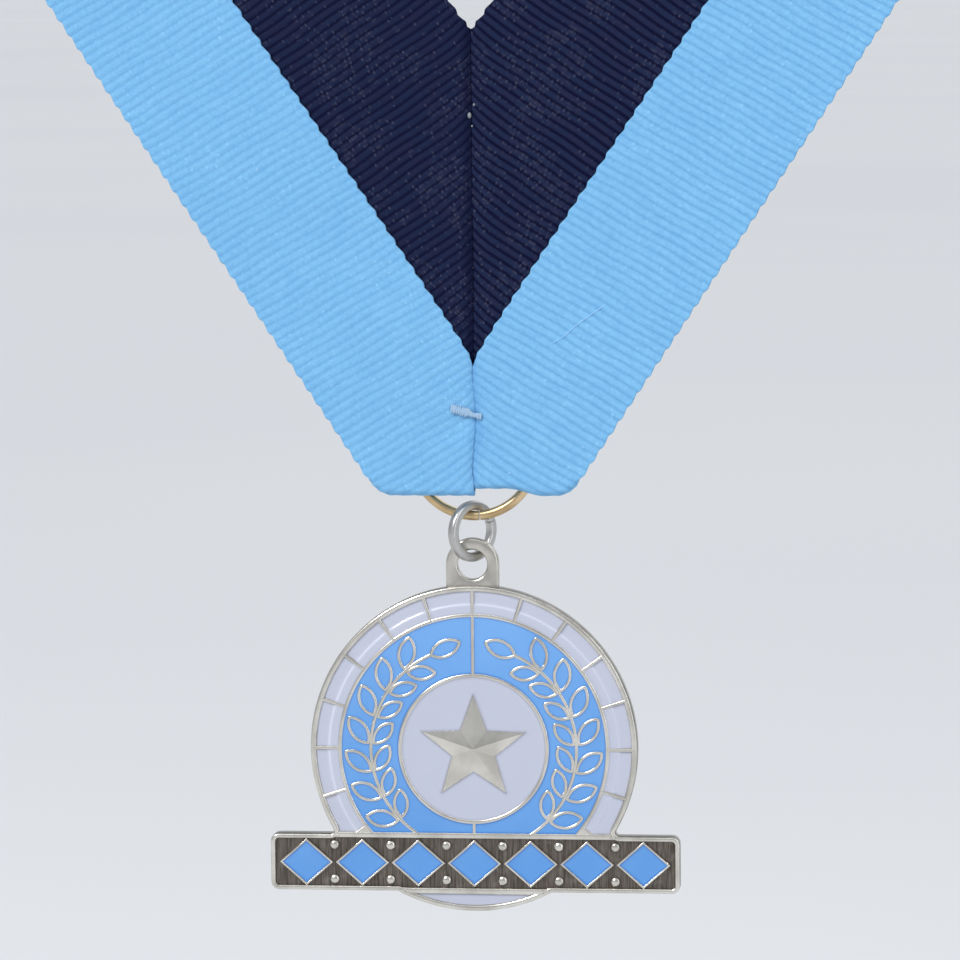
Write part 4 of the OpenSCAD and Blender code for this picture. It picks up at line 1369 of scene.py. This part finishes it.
lozenge_places = [((k - 3) * LOZENGE_STEP, -BANNER_DROP, 0) for k in range(LOZENGES)]
frame_shape = raised("frame", [lozenge_outline(-LOZENGE_LINE / 2)], LOZENGE_KIND, closed=True)
lozenge_frames = set_at("lozenge_frames", frame_shape, lozenge_places, antique_silver)
stud_object = ball("stud", STUD_R, STUD_R, FRONT - GROUND + STUD_SINK, 20, 7, low=0.0)
for vert in stud_object.data.vertices:
    vert.co.z += GROUND - STUD_SINK
stud_places = [((k - 2.5) * LOZENGE_STEP, -BANNER_DROP + y, 0)
               for k in range(LOZENGES - 1) for y in (-STUD_Y, STUD_Y)]
studs = set_at("studs", as_mesh("stud", stud_object), stud_places, antique_silver)
print("lozenges", len(lozenge_places), "studs", len(stud_places))

# %% Put the plate together
plate = joined("plate_struck", [
    tray, ground_slab, eye, ring_line, medallion_line, banner_lines, thin_lines, stems, *leaf_lines,
    border_ribs, lozenge_frames, studs, *corner_fills,
], TO_MEDAL, antique_silver)
shade_by_angle(plate, 38)
finish_piece(plate, "medal", "antique_silver", "medal_plate")

# %% [markdown]
# ## Enamel
# Enamel is poured into the cells as a liquid and climbs a little at every metal wall. Each cell is filled
# with a net of triangles that is dense along its walls, where that small climb is, and coarse in the middle.
# The net's edge lies just under the rounded foot of the raised line, so no gap shows. It is then closed
# down to the floor, because every piece should be a solid. Shade is painted into the colour along the metal
# walls, and the enamel is painted paler towards the top. The border's enamel drops past a round step, and a
# pale line is painted along that step as a highlight.

# %% Enamel materials
PAINTED_LIGHT_FROM, PAINTED_LIGHT_TO = float(eye_at.z) - 0.048, float(eye_at.z) - 0.006
PAINTED_HIGHLIGHT_COLOUR = (0.66, 0.69, 0.80)


def enamel_paint(name, deep, pale, at_wall):
    paint, tree, shader = material(
        name, Roughness=0.22, Coat_Weight=0.7, Coat_Roughness=0.05, Specular_IOR_Level=0.45,
    )
    surface = use_group(tree, flow, Size=420.0)
    _, _, up = node(tree, "ShaderNodeSeparateXYZ", {"Vector": object_place(tree)}).outputs
    # Painted light: the enamel is made paler towards the top of the medal
    high = spread(tree, up, PAINTED_LIGHT_FROM, PAINTED_LIGHT_TO, 0.0, 0.75, smooth=False)
    shade = maths(tree, "ADD", high, spread(tree, surface["Tint"], 0.3, 0.7, 0.0, 0.25))
    # Painted shade: the colour darkens along the metal walls
    wall = node(tree, "ShaderNodeAttribute", attribute_name="wall").outputs["Fac"]
    base = blend_colour(tree, wall, blend_colour(tree, shade, deep, pale), at_wall)
    # Painted highlight: a pale line along the border's step
    ridge = node(tree, "ShaderNodeAttribute", attribute_name="ridge").outputs["Fac"]
    tree.links.new(blend_colour(tree, ridge, base, PAINTED_HIGHLIGHT_COLOUR), shader.inputs["Base Color"])
    raise_surface(tree, shader, surface["Height"], 0.05 * MM, 0.5)
    return paint


blue_enamel = enamel_paint(
    "light_blue_enamel", (0.067, 0.253, 0.615), (0.145, 0.36, 0.735), at_wall=(0.028, 0.125, 0.40),
)
white_enamel = enamel_paint(
    "white_enamel", (0.441, 0.463, 0.563), (0.475, 0.497, 0.598), at_wall=(0.32, 0.33, 0.40),
)
print("enamels", blue_enamel.name, white_enamel.name)

# %% Walls of a cell: evenly spaced points along them, and how far any point is from the nearest
# The gaps from every point to every stretch of wall make a big table, so it is worked out in parts
POINTS_AT_ONCE = 2000


def resampled(loop, step=0.3):
    points = []
    for (x1, y1), (x2, y2) in zip(loop, [*loop[1:], loop[0]]):
        count = max(1, round(math.hypot(x2 - x1, y2 - y1) / step))
        points += [(x1 + (x2 - x1) * k / count, y1 + (y2 - y1) * k / count) for k in range(count)]
    return points


def wall_distance(points, loops):
    nearest = np.full(len(points), 1e9)
    for loop in loops:
        a = np.array(loop)
        b = np.roll(a, -1, axis=0)
        for start in range(0, len(points), POINTS_AT_ONCE):
            part = slice(start, start + POINTS_AT_ONCE)
            p = points[part, None, :]
            along = ((p - a) * (b - a)).sum(2) / np.maximum(((b - a) ** 2).sum(1), 1e-12)
            foot = a + np.clip(along, 0, 1)[..., None] * (b - a)
            gap = np.sqrt(((p - foot) ** 2).sum(2)).min(1)
            nearest[part] = np.minimum(nearest[part], gap)
    return nearest


# %% Points inside a cell: rows that follow its walls, then an even net
WALL_OFFSETS, OWN_WALL = (0.12, 0.24, 0.42), 0.9
NET_STEP, NET_ROW_STEP, NET_CLEAR, NEAREST = 0.55, 0.55 * 0.87, 0.15, 0.07


def wall_rows(loops, inside):
    rows = []
    for loop in loops:
        wall = np.array(loop)
        along = np.roll(wall, -1, axis=0) - np.roll(wall, 1, axis=0)
        normal = np.stack([-along[:, 1], along[:, 0]], 1) / np.maximum(np.hypot(*along.T), 1e-9)[:, None]
        for offset in WALL_OFFSETS:
            for way in (-1, 1):
                moved = wall + way * offset * normal
                kept = moved[inside(moved)]
                rows.append(kept[wall_distance(kept, loops) > OWN_WALL * offset])
    return rows


def even_net(loops, inside, extra_points):
    corners = np.concatenate(loops)
    low, high = corners.min(0), corners.max(0)
    xs = np.arange(low[0], high[0], NET_STEP)
    ys = np.arange(low[1], high[1], NET_ROW_STEP)
    net = [(x + (k % 2) * NET_STEP / 2, y) for k, y in enumerate(ys) for x in xs]
    net = np.array(net + list(extra_points))
    net = net[inside(net)]
    return net[wall_distance(net, loops) > WALL_OFFSETS[-1] + NET_CLEAR]


def inner_points(loops, inside, extra_points):
    points = np.concatenate([*wall_rows(loops, inside), even_net(loops, inside, extra_points)])
    _, first = np.unique(np.round(points / NEAREST).astype(int), axis=0, return_index=True)
    return points[np.sort(first)]


# %% Triangles that fill a cell
def triangulated(loops, inside, extra_points):
    edges, start = [], 0
    for loop in loops:
        edges += [(start + k, start + (k + 1) % len(loop)) for k in range(len(loop))]
        start += len(loop)
    points = np.concatenate([*loops, inner_points(loops, inside, extra_points)])
    flat, _, faces, _, _, _ = delaunay_2d_cdt([Vector(p) for p in points], edges, [], 0, 1e-5, False)
    flat = np.array([tuple(p) for p in flat])
    middles = np.array([flat[list(face)].mean(0) for face in faces])
    return flat, [face for face, kept in zip(faces, inside(middles)) if kept]


# %% Fill a cell with enamel
MENISCUS, MENISCUS_WIDTH, HIDDEN_EDGE = 0.075, 0.13, 0.08
WALL_SHADE, WALL_SHADE_WIDTH = 0.85, 0.14
ENAMEL_SINK = 0.03


def enamel_mesh(name, loops, inside, level=None, extra_points=(), ridge=None):
    loops = [resampled(loop) for loop in loops]
    flat, faces = triangulated(loops, inside, extra_points)
    gap = np.maximum(wall_distance(flat, loops) - HIDDEN_EDGE, 0)
    heights = (level(flat) if level else ENAMEL) + MENISCUS * np.exp(-gap / MENISCUS_WIDTH)
    # Painted shade along the walls, kept in the attribute wall
    wall_shade_shares = WALL_SHADE * np.exp(-(gap / WALL_SHADE_WIDTH) ** 2)
    ridge_shares = ridge(flat) if ridge else np.zeros(len(flat))
    form = bmesh.new()
    wall_shade_layer = form.verts.layers.float.new("wall")
    ridge_layer = form.verts.layers.float.new("ridge")
    verts = []
    for (x, y), height, wall_shade_share, ridge_share in zip(flat, heights, wall_shade_shares, ridge_shares):
        vert = form.verts.new((x, y, height))
        vert[wall_shade_layer] = wall_shade_share
        vert[ridge_layer] = ridge_share
        verts.append(vert)
    for face in faces:
        form.faces.new([verts[k] for k in face])
    bmesh.ops.delete(form, geom=[vert for vert in form.verts if not vert.link_faces], context="VERTS")
    made = bmesh.ops.extrude_face_region(form, geom=list(form.faces), use_keep_orig=True)
    for item in made["geom"]:
        if isinstance(item, bmesh.types.BMVert):
            item.co.z = FLOOR - ENAMEL_SINK
    bmesh.ops.recalc_face_normals(form, faces=form.faces)
    mesh = bpy.data.meshes.new(name)
    form.to_mesh(mesh)
    form.free()
    return mesh


def enamel_piece(name, meshes, paint, slot, node_name):
    made = joined(name, meshes, TO_MEDAL, paint)
    shade_by_angle(made, 50)
    finish_piece(made, "medal", slot, node_name)


# %% Tests for what lies inside a shape, and how far enamel reaches under its metal edge
HIDDEN = 0.12


def from_disc(points):
    return np.hypot(points[:, 0], points[:, 1] - DISC_Y)


def inside_leaf(points, size, place, grow):
    x, y, angle = place
    dx, dy = points[:, 0] - x, points[:, 1] - y
    along = dx * math.cos(angle) + dy * math.sin(angle)
    across = dy * math.cos(angle) - dx * math.sin(angle)
    r, sink = leaf_arc(size)
    return along ** 2 + (np.abs(across) + sink) ** 2 < (r + grow) ** 2


def turned_leaf(size, place, grow):
    x, y, angle = place
    return [(x + px * math.cos(angle) - py * math.sin(angle), y + px * math.sin(angle) + py * math.cos(angle))
            for px, py in leaf_outline(size, grow)]


# %% Blue field round the leaves, right half
HOLE = LINE_W - HIDDEN
leaves = [(OUTER_LEAF, place) for place in outer_places[::2]]
leaves += [(INNER_LEAF, place) for place in inner_places[::2]]
outer_r, inner_r = FIELD_LINE_R + HIDDEN, MEDALLION_LINE_R - HIDDEN
edge_x, low_y = LINE_W / 2 - HIDDEN, BANNER_TOP + LINE_W - HIDDEN
outer_end = math.acos((low_y - DISC_Y) / outer_r)
inner_start = math.asin(edge_x / inner_r)
field_outline = arc(outer_r, math.asin(edge_x / outer_r), outer_end, FINE_ARC_STEP)
field_outline += [(edge_x, low_y)] + arc(inner_r, math.pi - inner_start, inner_start)


def in_field(points):
    r = from_disc(points)
    kept = (r < outer_r) & (r > inner_r) & (points[:, 0] > edge_x) & (points[:, 1] > low_y)
    for size, place in leaves:
        kept &= ~inside_leaf(points, size, place, HOLE)
    return kept


field_loops = [field_outline] + [turned_leaf(size, place, HOLE) for size, place in leaves]
field_mesh = enamel_mesh("field", field_loops, in_field)
print("field", len(field_mesh.vertices))

# %% Both halves of the blue field
def mirrored(mesh):
    form = bmesh.new()
    form.from_mesh(mesh)
    for vert in form.verts:
        vert.co.x *= -1
    bmesh.ops.reverse_faces(form, faces=form.faces)
    made = bpy.data.meshes.new(mesh.name + "_mirrored")
    form.to_mesh(made)
    form.free()
    return made


enamel_piece("field_right_enamel", [field_mesh], blue_enamel, "blue_enamel", "field_right")
enamel_piece("field_left_enamel", [mirrored(field_mesh)], blue_enamel, "blue_enamel", "field_left")

# %% Leaves of the laurel
def everywhere_in(outline):
    loop = np.array(outline)

    def test(points):
        crossed = np.zeros(len(points), dtype=bool)
        for (x1, y1), (x2, y2) in zip(loop, np.roll(loop, -1, axis=0)):
            spans = (y1 > points[:, 1]) != (y2 > points[:, 1])
            rise = (y2 - y1) if y2 != y1 else 1e-9
            crossed ^= spans & (points[:, 0] < (x2 - x1) * (points[:, 1] - y1) / rise + x1)
        return crossed
    return test


leaf_fills = {}
for size in (OUTER_LEAF, INNER_LEAF):
    outline = leaf_outline(size, HIDDEN)
    leaf_fills[size] = enamel_mesh("leaf_fill", [outline], everywhere_in(outline))
for side, first in (("right", 0), ("left", 1)):
    fills = [set_at("leaf_fills", leaf_fills[size], places[first::2], blue_enamel)
             for size, places in ((OUTER_LEAF, outer_places), (INNER_LEAF, inner_places))]
    enamel_piece("laurel_" + side + "_enamel", fills, blue_enamel, "blue_enamel", "laurel_" + side)

# %% Outline of one segment of the white border
BORDERS = 14
border_in, border_out = BORDER_LINE_R - HIDDEN, DISC_R - RIM + HIDDEN
half_cell = BORDER_TURN / 2


def cell_outline(middle):
    inner_half = half_cell - (LINE_W / 2 - HIDDEN) / border_in
    outer_half = half_cell - (LINE_W / 2 - HIDDEN) / border_out
    outline = arc(border_out, middle - outer_half, middle + outer_half, FINE_ARC_STEP)
    outline += arc(border_in, middle + inner_half, middle - inner_half, FINE_ARC_STEP)
    kept = []
    for (x1, y1), (x2, y2) in zip(outline, [*outline[1:], outline[0]]):
        if y1 >= low_y:
            kept.append((x1, y1))
        if (y1 >= low_y) != (y2 >= low_y):
            share = (low_y - y1) / (y2 - y1)
            kept.append((x1 + share * (x2 - x1), low_y))
    return kept


# %% Step in the white border, with a highlight painted along it
POOL_DROP, STEP_FROM, STEP_TO, STEP_ROWS = 0.16, BORDER_LINE_R + 1.1, BORDER_LINE_R + 1.55, 7
PAINTED_HIGHLIGHT_SHARE, PAINTED_HIGHLIGHT_WIDTH = 0.6, 0.17


def border_level(points):
    return ENAMEL - POOL_DROP * smooth_step(from_disc(points), STEP_FROM, STEP_TO)


# Painted highlight: a pale line along the middle of the step
def border_ridge(points):
    return PAINTED_HIGHLIGHT_SHARE * np.exp(-((from_disc(points) - (STEP_FROM + STEP_TO) / 2) / PAINTED_HIGHLIGHT_WIDTH) ** 2)


def step_arcs(start, stop):
    rows = np.linspace(STEP_FROM, STEP_TO, STEP_ROWS)
    return [p for r in rows for p in arc(r, start, stop, FINEST_ARC_STEP)]


# %% Segments of the white border
for k in range(1, BORDERS + 1):
    middle = (k - (BORDERS + 1) / 2) * BORDER_TURN
    outline = cell_outline(middle)
    cell = enamel_mesh("border", [outline], everywhere_in(outline), border_level,
                       step_arcs(middle - half_cell, middle + half_cell), border_ridge)
    enamel_piece(f"border_{k}_enamel", [cell], white_enamel, "white_enamel", f"border_{k}")

# %% The piece of border below the banner
foot_level = BANNER_LOW - LINE_W + HIDDEN
foot_half = math.acos((foot_level - DISC_Y) / border_out)
foot_outline = arc(border_out, foot_half, 2 * math.pi - foot_half, FINE_ARC_STEP)
foot_cell = enamel_mesh("foot", [foot_outline], everywhere_in(foot_outline), border_level)
enamel_piece("border_foot_enamel", [foot_cell], white_enamel, "white_enamel", "border_foot")

# %% [markdown]
# ## Star and lozenges
# The star is a low pyramid with a ridge from its peak to every point and every waist, standing in a white
# medallion with a star-shaped hole. Its edges are beveled a little, as polishing leaves them, so they catch
# the light. The lozenges are plain cells of blue enamel inside their raised frames.

# %% White enamel round the star
STAR_R, STAR_WAIST, STAR_EDGE, STAR_PEAK, STAR_POINTS = 7.9, 0.42, 0.5, 1.15, 5
STAR_LAP = 0.05


def star_outline(grow):
    return [polar((STAR_R if k % 2 == 0 else STAR_R * STAR_WAIST) + grow, math.pi * k / STAR_POINTS)
            for k in range(2 * STAR_POINTS)]


star_hole = star_outline(-STAR_LAP)
in_star = everywhere_in(star_hole)
medallion_fill = enamel_mesh(
    "medallion", [arc(MEDALLION_R + HIDDEN, 0, CIRCLE_END), star_hole],
    lambda points: (from_disc(points) < MEDALLION_R + HIDDEN) & ~in_star(points),
)
enamel_piece("medallion_enamel_fill", [medallion_fill], white_enamel, "white_enamel", "medallion_enamel")

# %% Star
STAR_BEVEL = 0.07

foot_ring = [(x, y, FLOOR) for x, y in star_outline(0)]
edge_ring = [(x, y, FLOOR + STAR_EDGE) for x, y in star_outline(0)]
star_points = foot_ring + edge_ring + [(0, DISC_Y, FLOOR), (0, DISC_Y, FLOOR + STAR_PEAK)]
count = len(foot_ring)
middle, peak = 2 * count, 2 * count + 1
star_faces = []
for k in range(count):
    after = (k + 1) % count
    star_faces += [(k, middle, after), (k, after, count + after, count + k), (count + k, count + after, peak)]
star_object = mesh_object("star", star_points, star_faces)
with editing(star_object.data) as form:
    bmesh.ops.recalc_face_normals(form, faces=form.faces)
    above_foot = [edge for edge in form.edges if max(v.co.z for v in edge.verts) > FLOOR + 0.01]
    sharp = [edge for edge in above_foot if edge.calc_face_angle(0) > 0.05]
    bmesh.ops.bevel(form, geom=sharp, offset=STAR_BEVEL, segments=2, affect="EDGES", profile=0.5)
star = joined("star_facets", [as_mesh("star", star_object)], TO_MEDAL, antique_silver)
shade_by_angle(star, 20)
finish_piece(star, "medal", "antique_silver", "star")

# %% Lozenges on the banner
for k, (x, y, _) in enumerate(lozenge_places, start=1):
    outline = [(x + px, y + py) for px, py in lozenge_outline(-LOZENGE_LINE + HIDDEN)]
    fill = enamel_mesh("lozenge", [outline], everywhere_in(outline))
    enamel_piece(f"lozenge_{k}_enamel", [fill], blue_enamel, "blue_enamel", f"lozenge_{k}")
